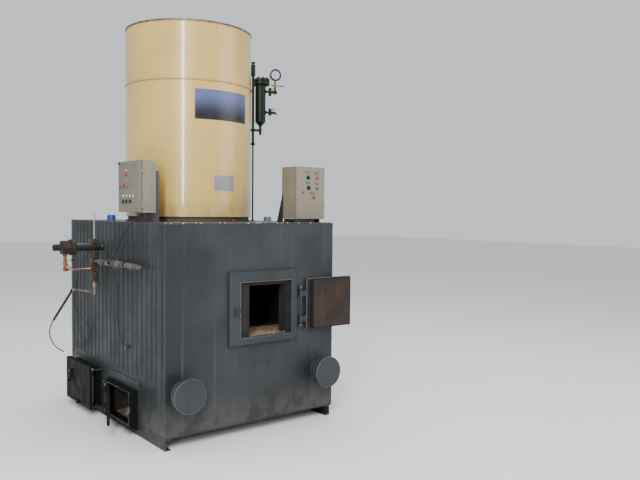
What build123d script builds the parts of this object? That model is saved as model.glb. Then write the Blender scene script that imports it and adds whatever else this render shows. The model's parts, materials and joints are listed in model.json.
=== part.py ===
from build123d import *
import math
import os

# Wood pellet boiler: a steel furnace block on two skids, with a firing door
# at the front and two ash doors at the left, and a cream heat exchanger drum
# standing on the block. Millimetres; X runs right along the front, Y to the
# back, Z up. The origin is on the floor, under the middle of the block.

# Furnace block
block_width = 1430
block_depth = 1770
block_top = 1520
wall_thickness = 100
floor_thickness = 8
roof_thickness = 80

# Skids of rolled channel, and the cross members between them
skid_height = 76
skid_flange_width = 42
skid_flange_thickness = 8
skid_web_thickness = 6
right_skid_inset = 18
cross_member_width = 60
cross_member_from_end = 265

# Ribbed casing sheets on both sides
casing_sheet = 2
casing_above_ash_plate = 45
casing_below_top = 10
casing_margin = 14
rib_count = 22
rib_width = 30
rib_depth = 6
rib_slope = 7

# Firing doorway in the front wall, seen from the front
fire_opening_left = -145
fire_opening_width = 443
fire_opening_sill = 700
fire_opening_height = 395
fire_frame_left_member = 88
fire_frame_right_member = 60
fire_frame_top_member = 80
fire_frame_bottom_member = 56
fire_frame_proud = 30
fire_frame_bevel = 9
sill_thickness = 50
jamb_left_width = 90
jamb_right_width = 26
lintel_height = 27
jamb_setback = 3
lintel_joint = 0.5
hearth_length = 230

# Latch catch on the left member of the frame: a base pad with a curled hook
catch_above_sill = 192
catch_inset = 20
catch_width = 34
catch_height = 60
catch_base = 8
hook_radius = 20
hook_bore = 11
hook_thickness = 14

# Firing door leaf: a steel plate with a refractory plug
leaf_short_of_opening = 13
leaf_bottom_gap = 8
leaf_top_overlap = 3
leaf_plate_thickness = 10
leaf_gap_to_frame = 5
plug_depth = 32
plug_gap_right = 10
plug_inset_free = 25
plug_inset_bottom = 9
plug_inset_top = 13
plug_edge = 6
fire_hinge_beside_frame = 28
fire_hinge_proud = 30
fire_hinge_to_leaf = 53
fire_open_angle = 178
hinge_pin_radius = 8
hinge_sleeve_radius = 16
hinge_running_gap = 0.5
strap_height = 44
strap_thickness = 8
strap_reach = 190
lower_strap_above_leaf_foot = 84
upper_strap_below_leaf_head = 113
pin_below_strap = 49
pin_above_strap = 54
hinge_lug_height = 16
hinge_lug_radius = 14
grip_above_leaf_foot = 197
grip_inset = 32
grip_reach = 38
grip_post_radius = 8
grip_bar_radius = 9
grip_bar_length = 120

# Fire grate
grate_below_hearth = 10
grate_thickness = 40
grate_slot_width = 24
grate_slot_pitch = 100
grate_slot_length = 340
grate_rows = 3

# Ash doorways in the left wall
ash_opening_height = 224
ash_opening_width = 385
ash_near_from_front = 455
ash_doorway_pitch = 700
ash_plate_thickness = 6
ash_plate_near_margin = 72
ash_plate_far_margin = 17
ash_plate_below = 44
ash_plate_above_leaf = 8
ash_frame_proud = 60
ash_frame_below = 40
ash_frame_top_member = 18
ash_frame_near_member = 40
ash_frame_far_member = 85
ash_frame_step = 16
ash_frame_step_depth = 20

# Near ash leaf: a plain plate inset in its frame, left ajar
near_leaf_clearance = 7
near_leaf_thickness = 20
near_leaf_stand_out = 3
near_hinge_behind_opening = 9
near_hinge_proud = 72
near_open_angle = 21.3
near_knuckle_inset = 45
near_knuckle_arm = 30

# Far ash leaf: a shallow steel box closed over its frame
far_leaf_before_opening = 70
far_leaf_after_opening = 73
far_leaf_below_opening = 38
far_leaf_above_opening = 74
far_leaf_depth = 38
far_leaf_gap = 5
far_leaf_bevel = 5
far_frame_overlap = 18
far_hinge_gap = 14
far_knuckle_inset = 50
lever_from_end = 130
lever_from_top = 92
lever_length = 84
lever_width = 22
lever_thickness = 10
lever_standoff = 8
lever_boss_radius = 14
lever_grip_radius = 12
lever_grip_length = 30
ash_knuckle_radius = 9
ash_pin_radius = 5
ash_knuckle_length = 34
ash_knuckle_web = 8
ash_tab_height = 12
ash_tab_width = 14
ash_tab_inset = 8

# Round cleanout openings low on the front
cleanout_inset = 125
cleanout_level = 375
cleanout_neck_radius = 80
cleanout_proud = 120
cleanout_cap_radius = 117
cleanout_cap_thickness = 48
cleanout_cap_edge = 5

# Heat exchanger drum
drum_x = -45
drum_y = 40
drum_radius = 500
drum_base_inset = 16
drum_base_height = 36
drum_wall = 60
drum_lower_height = 1026
drum_upper_height = 431
drum_top_thickness = 12
drum_top_lip = 4
seam_band_height = 14
seam_band_proud = 6
flue_radius = 125
flue_wall = 5
flue_height = 95
flue_flange_width = 26
flue_flange_thickness = 8

# Plates on the drum, centred a little left of its front
plate_bearing = -86
sign_half_angle = 27.4
sign_below_seam = 291
sign_height = 224
sign_thickness = 3
name_half_angle = 10.2
name_above_foot = 203
name_height = 114
name_thickness = 2
plate_standoff = 0.5

# Both control cabinets: a folded steel body and a pan-shaped door
cab_door_thickness = 18
cab_wall = 3
cab_door_gap = 5
cab_hinge_gap = 7
cab_hinge_radius = 5
cab_hinge_inset = 60
cab_hinge_length = 28
cab_hinge_leaf = 6
control_sides = 12

# Left control cabinet, its door facing left
left_cab_width = 360
left_cab_from_front = 400
left_cab_depth = 126
left_cab_raised = 70
left_cab_height = 365
gland_radius = 12
gland_length = 8
gland_from_back = 76
gland_pitch = 50
bracket_thickness = 6
bracket_flange = 40
bracket_near_margin = 30
bracket_far_margin = 40
bracket_below_top = 70

# Controls on the left door: along from its middle, down from its top, radius, reach
left_controls = (
    (41, 94, 14, 16),
    (90, 176, 14, 16),
    (18, 178, 14, 16),
    (96, 288, 11, 8),
    (37, 288, 11, 8),
    (-25, 288, 11, 8),
)

# Right control cabinet, its door facing the front
right_cab_width = 276
right_cab_inset = 17
right_cab_setback = 85
right_cab_depth = 190
right_cab_raised = 28
right_cab_height = 402
plinth_left_margin = 8
plinth_width = 190
plinth_near_margin = 30
plinth_far_margin = 20
leg_inset = 22
leg_thickness = 10
gusset_reach = 54
gusset_height = 226
gusset_thickness = 8

# Controls on the right door: in from its left edge, down from its top, radius, reach
right_controls = (
    (112, 82, 15, 22),
    (198, 82, 15, 16),
    (114, 160, 15, 22),
    (200, 164, 11, 10),
    (166, 232, 15, 16),
    (60, 196, 9, 8),
)

# Water level column beside the drum, along one line out from its axis
column_bearing = -15
standpipe_from_drum = 44
standpipe_radius = 11
standpipe_gap = 10
drain_tube_radius = 7
joint_above_block = 653
column_above_block = 842
column_height = 313
column_radius = 44
column_flange_radius = 78
column_flange_thickness = 22
column_flange_gap = 4
column_cone_height = 37
column_neck_radius = 11
return_below_column = 72
return_radius = 10
valve_above_column = 68
valve_height = 95
valve_radius = 20
valve_stem_height = 26
valve_stem_radius = 8
inlet_above_valve_foot = 30
inlet_radius = 12
gauge_clear_of_flange = 2
gauge_above_column = 92
gauge_radius = 51
gauge_case_radius = 46
gauge_depth = 38
gauge_bezel_depth = 11
gauge_recess = 4
gauge_dial_radius = 43
gauge_boss_radius = 11
gauge_boss_height = 14
upper_cock_below_top = 53
lower_cock_above_foot = 85
cock_radius = 9
cock_body_offset = 42
cock_body_radius = 15
cock_body_height = 48
cock_lever_length = 52
cock_lever_width = 10
cock_lever_thickness = 5
stem_radius = 8
test_rod_below_gauge = 88
test_rod_radius = 4
test_rod_inward = 34
test_rod_outward = 84

# Outlet pipe and its flanged head on the left wall
feed_y = 205
outlet_below_top = 202
outlet_radius = 30
outlet_pipe_length = 215
outlet_flange_radius = 60
outlet_flange_thickness = 16
outlet_gasket_radius = 46
outlet_gasket_thickness = 4
outlet_nut_radius = 58
outlet_nut_length = 60
outlet_shoulder_radius = 48
outlet_shoulder_length = 14
outlet_stub_radius = 24
outlet_stub_bore = 17
outlet_stub_length = 45

# Manifold stack that hangs from the outlet pipe, its bypass and its vent tube
feed_from_wall = 60
manifold_radius = 17
manifold_length = 257
tee_half_width = 23
tee_height = 38
upper_union_drop = 58
upper_union_radius = 25
upper_union_height = 26
run_drop = 108
bypass_drop = 168
lower_union_drop = 234
lower_union_radius = 27
lower_union_height = 34
bypass_reach = 70
bypass_radius = 13
bypass_tube_radius = 6
bypass_handle_radius = 5
bypass_handle_length = 52
bypass_handle_drop = 96
vent_socket_radius = 14
vent_socket_height = 45
vent_radius = 5
vent_length = 220

# Horizontal run along the wall, its fittings and the pocket that the leads enter
run_length = 836
run_radius = 12
run_fittings = (
    (145, 20, 60),
    (285, 22, 44),
    (395, 24, 110),
    (585, 21, 180),
    (806, 18, 30),
)
pocket_along_run = 307
pocket_radius = 8
pocket_length = 45

# Drain elbow under the manifold, its slanted branch and the stiff sleeve on its end
drain_elbow_radius = 13
drain_elbow_length = 113
drain_above_foot = 17
drain_radius = 8
drain_reach = 168
drain_rise = 34
drain_nut_radius = 13
drain_nut_length = 24
sleeve_radius = 9
sleeve_length = 236
sleeve_slope = 57

# Capped spare tappings on the top plate
cap_radius = 34
left_cap_height = 46
left_cap_inset = 115
left_cap_behind_middle = 300
right_cap_height = 38
right_cap_inset = 95
right_cap_before_middle = 120

# Glands on the left wall that the free branch cable enters at its two ends
wall_gland_width = 24
wall_gland_depth = 30
wall_gland_radius = 9
wall_gland_nose = 15
wall_gland_reach = 20
branch_gland_rib = 15
branch_gland_level = 1357
foot_gland_from_back = 70
foot_gland_level = 267

# Free cables: radius of each, and how far it runs straight out of a fitting
cord_sides = 6
leads_radius = 5
branch_radius = 4
drain_lead_radius = 4
gland_lead_out = 17
pocket_lead_out = 40
nose_lead_out = 26
capillary_radius = 3
capillary_boss_radius = 7
capillary_boss_drop = 42
capillary_start_along_run = 410
capillary_clip_rib = 6
capillary_clip_drop = 598
capillary_lead_out = 20
clip_lead_out = 30
sleeve_lead_out = 22
ferrule_radius = 6
ferrule_length = 22

# Points of a cable between its ends: out from the wall, share along, share down
leads_route = (
    (-42, 0.000, 0.088),
    (-28, 0.003, 0.113),
    (-9, 0.007, 0.118),
    (12, 0.014, 0.140),
    (32, 0.026, 0.184),
    (48, 0.045, 0.253),
    (58, 0.094, 0.335),
    (67, 0.209, 0.430),
    (73, 0.338, 0.530),
    (78, 0.425, 0.645),
    (85, 0.488, 0.771),
    (97, 0.582, 0.877),
    (109, 0.721, 0.950),
)
branch_route = (
    (22, 0.021, 0.052),
    (25, 0.081, 0.077),
    (28, 0.172, 0.096),
    (31, 0.284, 0.120),
    (33, 0.391, 0.150),
    (35, 0.501, 0.193),
    (36, 0.582, 0.238),
    (35, 0.640, 0.296),
    (34, 0.685, 0.362),
    (36, 0.733, 0.425),
    (38, 0.733, 0.487),
    (37, 0.659, 0.540),
    (35, 0.516, 0.577),
    (33, 0.339, 0.596),
    (34, 0.134, 0.614),
    (36, -0.010, 0.639),
    (38, -0.081, 0.666),
    (40, -0.086, 0.705),
    (41, -0.024, 0.732),
    (42, 0.086, 0.747),
    (41, 0.267, 0.758),
    (38, 0.477, 0.778),
    (34, 0.690, 0.809),
    (30, 0.855, 0.850),
    (26, 0.950, 0.898),
    (22, 0.990, 0.938),
)

capillary_route = (
    (51, -0.082, 0.113),
    (40, -0.224, 0.191),
    (31, -0.388, 0.281),
    (26, -0.565, 0.378),
    (23, -0.718, 0.473),
    (21, -0.776, 0.572),
    (21, -0.718, 0.671),
    (21, -0.529, 0.766),
    (21, -0.247, 0.856),
    (20, 0.106, 0.941),
)

# Points of the lead under the drain: left, back and down from where it leaves the sleeve
drain_lead_route = (
    (-20, 1, 54),
    (-20, 4, 92),
    (-8, 8, 128),
    (6, 9, 164),
    (30, 6, 196),
    (64, 0, 220),
)

parts = {}


def block(x0, x1, y0, y1, z0, z1):
    """A rectangular solid between two corners."""
    centre = ((x0 + x1) / 2, (y0 + y1) / 2, (z0 + z1) / 2)
    return Pos(*centre) * Box(x1 - x0, y1 - y0, z1 - z0)


def rod(start, direction, radius, length):
    """A round bar from a point along a direction."""
    place = Plane(origin=start, z_dir=direction).location
    return place * Cylinder(radius, length, align=(Align.CENTER, Align.CENTER, Align.MIN))


def bar(start, direction, radius, length, sides=6, spin=0):
    """A bar with flat sides from a point along a direction."""
    place = Plane(origin=start, z_dir=direction)
    return extrude(place * RegularPolygon(radius, sides, rotation=spin), length)


def lathe(start, direction, profile):
    """A solid turned from pairs of distance along its axis and radius."""
    outline = [(radius, 0, along) for along, radius in profile]
    solid = revolve(make_face(Polyline(outline, close=True)), axis=Axis.Z)
    return Plane(origin=start, z_dir=direction).location * solid


def join(solids):
    """One shape made of several solids that meet."""
    total = solids[0]
    for solid in solids[1:]:
        total += solid
    return total


def turned(shape, x, y, angle):
    """A shape turned about an upright axis through x, y."""
    return Pos(x, y, 0) * Rot(0, 0, angle) * Pos(-x, -y, 0) * shape


def between(start, end, route):
    """Points on a wall cable's route, placed by its two ends."""
    return [(left_x - out, start[1] + along * (end[1] - start[1]),
             start[2] + down * (end[2] - start[2])) for out, along, down in route]


def cable(name, points, radius):
    """A free cable's tube: straight runs joined by arcs as large as the runs allow."""
    corners = [Vector(*point) for point in points]
    steps = [second - first for first, second in zip(corners, corners[1:])]
    radii = []
    for before, after in zip(steps, steps[1:]):
        half_turn = math.radians(before.get_angle(after)) / 2
        radii.append(0.45 * min(before.length, after.length) / math.tan(half_turn))
    path = FilletPolyline(*points, radius=radii)
    corner = radius * math.sqrt(2 * math.pi / (cord_sides * math.sin(2 * math.pi / cord_sides)))
    section = Plane(origin=path @ 0, z_dir=path % 0) * RegularPolygon(corner, cord_sides)
    tube = sweep(section, path=path)
    print(name, "radii", [round(value) for value in radii], "length", round(path.length),
          "volume share", round(tube.volume / (section.area * path.length), 4))
    return tube


# Places that several pieces share
left_x = -block_width / 2
right_x = block_width / 2
front_y = -block_depth / 2
back_y = block_depth / 2
inner_left = left_x + wall_thickness
inner_right = right_x - wall_thickness
inner_front = front_y + wall_thickness
inner_back = back_y - wall_thickness
wall_bottom = skid_height + floor_thickness
roof_bottom = block_top - roof_thickness
fire_right = fire_opening_left + fire_opening_width
fire_top = fire_opening_sill + fire_opening_height
frame_face_y = front_y - fire_frame_proud
ash_floor = wall_bottom
ash_lintel = wall_bottom + ash_opening_height
ash_near_start = front_y + ash_near_from_front
ash_far_start = ash_near_start + ash_doorway_pitch
ash_plate_x = left_x - ash_plate_thickness
ash_face_x = left_x - ash_frame_proud
far_leaf_start = ash_far_start - far_leaf_before_opening
far_leaf_end = ash_far_start + ash_opening_width + far_leaf_after_opening
far_leaf_bottom = ash_floor - far_leaf_below_opening
far_leaf_top = ash_lintel + far_leaf_above_opening
ash_plate_top = far_leaf_top + ash_plate_above_leaf
drum_foot = block_top + drum_base_height
drum_seam = drum_foot + drum_lower_height
outlet_level = block_top - outlet_below_top
feed_x = left_x - feed_from_wall
run_level = outlet_level - run_drop
rib_pitch = (block_depth - 2 * casing_margin) / rib_count


def make_base():
    """The two skids, their cross members and the floor plate."""
    skids = []
    for web_x, inward in ((left_x, 1), (right_x - right_skid_inset, -1)):
        web = (web_x, web_x + inward * skid_web_thickness)
        flange = (web_x, web_x + inward * skid_flange_width)
        web_bar = block(min(web), max(web), front_y, back_y, 0, skid_height)
        low = block(min(flange), max(flange), front_y, back_y, 0, skid_flange_thickness)
        high = block(min(flange), max(flange), front_y, back_y,
                     skid_height - skid_flange_thickness, skid_height)
        skids.append(join([web_bar, low, high]))
    parts["skids"] = Compound(skids)
    cross_left = left_x + skid_flange_width
    cross_right = right_x - right_skid_inset - skid_flange_width
    half = cross_member_width / 2
    parts["cross_members"] = Compound([
        block(cross_left, cross_right, y - half, y + half, 0, skid_height)
        for y in (front_y + cross_member_from_end, 0, back_y - cross_member_from_end)
    ])
    parts["furnace_floor"] = block(left_x, right_x, front_y, back_y, skid_height, wall_bottom)


def make_walls():
    """Walls as slabs beside, over and under each doorway, and the roof."""
    front = (front_y, inner_front)
    beside_left = block(left_x, fire_opening_left, *front, wall_bottom, roof_bottom)
    beside_right = block(fire_right, right_x, *front, wall_bottom, roof_bottom)
    parts["front_wall_sides"] = Compound([beside_left, beside_right])
    below = block(fire_opening_left, fire_right, *front, wall_bottom,
                  fire_opening_sill - sill_thickness)
    above = block(fire_opening_left, fire_right, *front, fire_top, roof_bottom)
    parts["front_wall_middle"] = Compound([below, above])

    side = (left_x, inner_left)
    near_end = ash_near_start + ash_opening_width
    far_end = ash_far_start + ash_opening_width
    spans = ((inner_front, ash_near_start), (near_end, ash_far_start), (far_end, inner_back))
    parts["left_wall_piers"] = Compound([
        block(*side, *span, wall_bottom, ash_lintel) for span in spans
    ])
    parts["left_wall_upper"] = block(*side, inner_front, inner_back, ash_lintel, roof_bottom)
    parts["right_wall"] = block(inner_right, right_x, inner_front, inner_back,
                                wall_bottom, roof_bottom)
    parts["rear_wall"] = block(left_x, right_x, inner_back, back_y, wall_bottom, roof_bottom)
    parts["furnace_roof"] = block(left_x, right_x, front_y, back_y, roof_bottom, block_top)


def rib_middle(index):
    """How far along the side wall one rib stands."""
    return front_y + casing_margin + rib_pitch * (index + 0.5)


def ribbed_sheet(wall_x, outward):
    """A casing sheet with upright pressed ribs, standing on one side wall."""
    outline = [(0, front_y), (casing_sheet, front_y)]
    half = rib_width / 2
    for index in range(rib_count):
        middle = rib_middle(index)
        outline += [
            (casing_sheet, middle - half),
            (casing_sheet + rib_depth, middle - half + rib_slope),
            (casing_sheet + rib_depth, middle + half - rib_slope),
            (casing_sheet, middle + half),
        ]
    outline += [(casing_sheet, back_y), (0, back_y)]
    placed = [(wall_x + outward * x, y) for x, y in outline]
    section = make_face(Polyline(placed, close=True))
    bottom = ash_plate_top + casing_above_ash_plate
    height = block_top - casing_below_top - bottom
    return Pos(0, 0, bottom) * extrude(section, height, dir=(0, 0, 1))


def make_casing():
    """Ribbed sheets on the left and right walls, the left one holed for the outlet pipe."""
    hole_length = 2 * (casing_sheet + rib_depth)
    pipe_hole = rod((left_x + 1, feed_y, outlet_level), (-1, 0, 0), outlet_radius + 1,
                    hole_length)
    left_sheet = ribbed_sheet(left_x, -1) - pipe_hole
    parts["casing_sheets"] = Compound([left_sheet, ribbed_sheet(right_x, 1)])


def latch_catch():
    """The pad and the curled hook that the firing door latches on."""
    right = fire_opening_left - catch_inset
    level = fire_opening_sill + catch_above_sill
    pad_face_y = frame_face_y - catch_base
    pad = block(right - catch_width, right, pad_face_y, frame_face_y,
                level - catch_height / 2, level + catch_height / 2)
    centre = (right - hook_bore / 2, pad_face_y, level)
    curl = rod(centre, (0, -1, 0), hook_radius, hook_thickness)
    curl -= rod(centre, (0, -1, 0), hook_bore, hook_thickness)
    curl -= block(centre[0], centre[0] + hook_radius, pad_face_y - hook_thickness, pad_face_y,
                  level - hook_radius, level)
    return pad + curl


def make_firing_doorway():
    """Frame with its latch catch, refractory jambs and lintel, hearth and grate."""
    frame = block(fire_opening_left - fire_frame_left_member, fire_right + fire_frame_right_member,
                  frame_face_y, front_y,
                  fire_opening_sill - fire_frame_bottom_member, fire_top + fire_frame_top_member)
    outer_edges = frame.edges().filter_by_position(Axis.Y, frame_face_y - 1, frame_face_y + 1)
    frame = chamfer(outer_edges, fire_frame_bevel)
    frame -= block(fire_opening_left, fire_right, frame_face_y - 1, front_y + 1,
                   fire_opening_sill, fire_top)
    parts["firing_door_frame"] = frame + latch_catch()

    face = front_y + jamb_setback
    left_jamb_edge = fire_opening_left + jamb_left_width
    right_jamb_edge = fire_right - jamb_right_width
    left_jamb = block(fire_opening_left, left_jamb_edge, face, inner_front,
                      fire_opening_sill, fire_top)
    right_jamb = block(right_jamb_edge, fire_right, face, inner_front,
                       fire_opening_sill, fire_top)
    lintel = block(left_jamb_edge + lintel_joint, right_jamb_edge - lintel_joint,
                   face, inner_front, fire_top - lintel_height, fire_top)
    parts["firing_throat_lining"] = Compound([left_jamb, right_jamb, lintel])

    hearth_back = inner_front + hearth_length
    sill = block(fire_opening_left, fire_right, front_y, inner_front,
                 fire_opening_sill - sill_thickness, fire_opening_sill)
    parts["hearth"] = sill + block(inner_left, inner_right, inner_front, hearth_back,
                                   fire_opening_sill - sill_thickness, fire_opening_sill)
    grate_top = fire_opening_sill - grate_below_hearth
    grate_foot = grate_top - grate_thickness
    grate = block(inner_left, inner_right, hearth_back, inner_back, grate_foot, grate_top)
    slots_across = int((inner_right - inner_left) / grate_slot_pitch) - 1
    row_pitch = (inner_back - hearth_back) / grate_rows
    for row in range(grate_rows):
        row_y = hearth_back + row_pitch * (row + 0.5)
        for index in range(slots_across):
            slot_x = (index - (slots_across - 1) / 2) * grate_slot_pitch
            grate -= block(slot_x - grate_slot_width / 2, slot_x + grate_slot_width / 2,
                           row_y - grate_slot_length / 2, row_y + grate_slot_length / 2,
                           grate_foot, grate_top)
    parts["fire_grate"] = grate


fire_axis_x = fire_right + fire_frame_right_member + fire_hinge_beside_frame
fire_axis_y = front_y - fire_hinge_proud
leaf_foot = fire_opening_sill + leaf_bottom_gap
leaf_head = fire_top + leaf_top_overlap
lower_strap = leaf_foot + lower_strap_above_leaf_foot
upper_strap = leaf_head - upper_strap_below_leaf_head


def fire_pose(shape):
    """Turns a piece of the closed firing door to its open rest pose."""
    return turned(shape, fire_axis_x, fire_axis_y, fire_open_angle)


def make_firing_door():
    """The leaf with its straps and grip, and its plug, built closed and then opened."""
    hinge_edge = fire_axis_x - fire_hinge_to_leaf
    free_edge = hinge_edge - (fire_opening_width - leaf_short_of_opening)
    plate_inner = frame_face_y - leaf_gap_to_frame
    plate_outer = plate_inner - leaf_plate_thickness

    plug = block(free_edge + plug_inset_free, fire_right - plug_gap_right,
                 plate_inner, plate_inner + plug_depth,
                 leaf_foot + plug_inset_bottom, leaf_head - plug_inset_top)
    plug_face = plug.faces().sort_by(Axis.Y)[-1]
    parts["firing_door_lining"] = fire_pose(chamfer(plug_face.edges(), plug_edge))

    leaf = block(free_edge, hinge_edge, plate_outer, plate_inner, leaf_foot, leaf_head)
    for level in (lower_strap, upper_strap):
        low = level - strap_height / 2
        high = level + strap_height / 2
        leaf += block(hinge_edge - strap_reach, fire_axis_x, plate_outer - strap_thickness,
                      plate_outer, low, high)
        leaf += block(hinge_edge, fire_axis_x, plate_outer, plate_inner, low, high)
        leaf += rod((fire_axis_x, fire_axis_y, low), (0, 0, 1), hinge_sleeve_radius, strap_height)
    leaf -= rod((fire_axis_x, fire_axis_y, 0), (0, 0, 1), hinge_pin_radius + hinge_running_gap,
                block_top)
    grip_x = free_edge + grip_inset
    grip_level = leaf_foot + grip_above_leaf_foot
    leaf += bar((grip_x, plate_outer, grip_level), (0, -1, 0), grip_post_radius, grip_reach)
    leaf += bar((grip_x, plate_outer - grip_reach, grip_level - grip_bar_length / 2), (0, 0, 1),
                grip_bar_radius, grip_bar_length)
    parts["firing_door_leaf"] = fire_pose(leaf)


def firing_pin():
    """The long upright hinge pin with its two fixed lugs."""
    foot = lower_strap - pin_below_strap
    head = upper_strap + pin_above_strap
    pin = rod((fire_axis_x, fire_axis_y, foot), (0, 0, 1), hinge_pin_radius, head - foot)
    lug_left = fire_right + fire_frame_right_member
    for low in (foot, head - hinge_lug_height):
        pin += block(lug_left, fire_axis_x, fire_axis_y - hinge_lug_radius, front_y,
                     low, low + hinge_lug_height)
        pin += rod((fire_axis_x, fire_axis_y, low), (0, 0, 1), hinge_lug_radius,
                   hinge_lug_height)
    return pin


def ash_frame(start, near_member, far_member, bottom, top):
    """A stepped steel frame round one ash doorway."""
    end = start + ash_opening_width
    y0 = start - near_member
    y1 = end + far_member
    ring = block(ash_face_x, ash_plate_x, y0 + ash_frame_step, y1 - ash_frame_step,
                 bottom + ash_frame_step / 2, top - ash_frame_step / 2)
    ring += block(ash_plate_x - ash_frame_step_depth, ash_plate_x, y0, y1, bottom, top)
    ring -= block(ash_face_x - 1, ash_plate_x + 1, start, end, ash_floor, ash_lintel)
    return ring


def make_ash_doorways():
    """The backing plate and the frames of the two ash doors."""
    plate = block(ash_plate_x, left_x, ash_near_start - ash_plate_near_margin,
                  far_leaf_end + ash_plate_far_margin, ash_floor - ash_plate_below, ash_plate_top)
    for start in (ash_near_start, ash_far_start):
        plate -= block(ash_plate_x - 1, left_x + 1, start, start + ash_opening_width,
                       ash_floor, ash_lintel)
    parts["ash_backing_plate"] = plate
    near_frame = ash_frame(ash_near_start, ash_frame_near_member, ash_frame_far_member,
                           ash_floor - ash_frame_below, ash_lintel + ash_frame_top_member)
    far_frame = ash_frame(ash_far_start, far_leaf_before_opening - far_frame_overlap,
                          far_leaf_after_opening - far_frame_overlap,
                          far_leaf_bottom + far_frame_overlap, far_leaf_top - far_frame_overlap)
    parts["ash_door_frames"] = Compound([near_frame, far_frame])


near_axis_x = left_x - near_hinge_proud
near_axis_y = ash_near_start + ash_opening_width + near_hinge_behind_opening
near_leaf_foot = ash_floor + near_leaf_clearance
near_leaf_head = ash_lintel - near_leaf_clearance
far_leaf_inner = ash_face_x - far_leaf_gap
far_leaf_outer = far_leaf_inner - far_leaf_depth
far_axis_x = far_leaf_inner - far_leaf_depth / 2
far_axis_y = far_leaf_start - far_hinge_gap


def ash_bore(x, y):
    """The hole that an ash door's pin runs in."""
    return rod((x, y, 0), (0, 0, 1), ash_pin_radius + hinge_running_gap, block_top)


def make_near_ash_door():
    """A plate leaf hinged at the far side of the near doorway, left ajar."""
    y0 = ash_near_start + near_leaf_clearance
    y1 = ash_near_start + ash_opening_width - near_leaf_clearance
    outer = ash_face_x - near_leaf_stand_out
    leaf = block(outer, outer + near_leaf_thickness, y0, y1, near_leaf_foot, near_leaf_head)
    for level in (near_leaf_foot + near_knuckle_inset, near_leaf_head - near_knuckle_inset):
        low = level - ash_knuckle_length / 2
        leaf += block(near_axis_x - ash_knuckle_web / 2, outer, y1 - near_knuckle_arm,
                      near_axis_y, low, low + ash_knuckle_length)
        leaf += rod((near_axis_x, near_axis_y, low), (0, 0, 1), ash_knuckle_radius,
                    ash_knuckle_length)
    leaf -= ash_bore(near_axis_x, near_axis_y)
    parts["near_ash_leaf"] = turned(leaf, near_axis_x, near_axis_y, -near_open_angle)


def make_far_ash_door():
    """A box leaf closed over the far frame, hinged at its near side."""
    leaf = block(far_leaf_outer, far_leaf_inner, far_leaf_start, far_leaf_end,
                 far_leaf_bottom, far_leaf_top)
    face_edges = leaf.edges().filter_by_position(Axis.X, far_leaf_outer - 1, far_leaf_outer + 1)
    leaf = chamfer(face_edges, far_leaf_bevel)
    half_web = ash_knuckle_web / 2
    for level in (far_leaf_bottom + far_knuckle_inset, far_leaf_top - far_knuckle_inset):
        low = level - ash_knuckle_length / 2
        leaf += block(far_axis_x - half_web, far_axis_x + half_web, far_axis_y, far_leaf_start,
                      low, low + ash_knuckle_length)
        leaf += rod((far_axis_x, far_axis_y, low), (0, 0, 1), ash_knuckle_radius,
                    ash_knuckle_length)
    leaf -= ash_bore(far_axis_x, far_axis_y)
    pivot_z = far_leaf_top - lever_from_top
    lever_y = far_leaf_end - lever_from_end
    lever_back = far_leaf_outer - lever_standoff
    lever_face = lever_back - lever_thickness
    leaf += bar((far_leaf_outer, lever_y, pivot_z), (-1, 0, 0), lever_boss_radius,
                lever_standoff + lever_thickness, control_sides)
    leaf += block(lever_face, lever_back, lever_y - lever_width / 2, lever_y + lever_width / 2,
                  pivot_z - lever_length, pivot_z)
    leaf += bar((lever_back, lever_y, pivot_z - lever_length + lever_grip_radius / 2),
                (-1, 0, 0), lever_grip_radius, lever_grip_length, control_sides)
    parts["far_ash_leaf"] = leaf


def ash_pin(axis_x, axis_y, low, high, anchor_x):
    """A fixed upright hinge pin with two tabs back to the frame or plate behind it."""
    pin = rod((axis_x, axis_y, low), (0, 0, 1), ash_pin_radius, high - low)
    half = ash_tab_width / 2
    for tab_low in (low, high - ash_tab_height):
        pin += block(axis_x - half, anchor_x, axis_y - half, axis_y + half,
                     tab_low, tab_low + ash_tab_height)
    return pin


def make_hinge_pins():
    """The fixed pins that the firing door and both ash doors turn on."""
    near_pin = ash_pin(near_axis_x, near_axis_y, near_leaf_foot + ash_tab_inset,
                       near_leaf_head - ash_tab_inset, ash_face_x)
    far_pin = ash_pin(far_axis_x, far_axis_y, far_leaf_bottom + 2 * ash_tab_inset,
                      far_leaf_top - 2 * ash_tab_inset, ash_plate_x)
    parts["door_hinge_pins"] = Compound([firing_pin(), near_pin, far_pin])


def make_cleanouts():
    """Two round necks on the front wall, each closed by a thick cap."""
    neck_length = cleanout_proud - cleanout_cap_thickness
    profile = (
        (0, 0),
        (0, cleanout_neck_radius),
        (neck_length, cleanout_neck_radius),
        (neck_length, cleanout_cap_radius),
        (cleanout_proud - cleanout_cap_edge, cleanout_cap_radius),
        (cleanout_proud, cleanout_cap_radius - cleanout_cap_edge),
        (cleanout_proud, 0),
    )
    parts["cleanout_caps"] = Compound([
        lathe((x, front_y, cleanout_level), (0, -1, 0), profile)
        for x in (left_x + cleanout_inset, right_x - cleanout_inset)
    ])


def drum_ring(outer, inner, bottom, height):
    """A hollow cylinder about the drum's axis."""
    ring = rod((drum_x, drum_y, bottom), (0, 0, 1), outer, height)
    return ring - rod((drum_x, drum_y, bottom), (0, 0, 1), inner, height)


def drum_plate(half_angle, bottom, height, thickness):
    """A plate bent round the front of the drum."""
    inner = drum_radius + plate_standoff
    outer = inner + thickness
    first = math.radians(plate_bearing - half_angle)
    last = math.radians(plate_bearing + half_angle)
    middle = math.radians(plate_bearing)

    def at(radius, angle):
        return (drum_x + radius * math.cos(angle), drum_y + radius * math.sin(angle))

    edge = [
        ThreePointArc(at(outer, first), at(outer, middle), at(outer, last)),
        Line(at(outer, last), at(inner, last)),
        ThreePointArc(at(inner, last), at(inner, middle), at(inner, first)),
        Line(at(inner, first), at(outer, first)),
    ]
    return Pos(0, 0, bottom) * extrude(make_face(edge), height, dir=(0, 0, 1))


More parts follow.
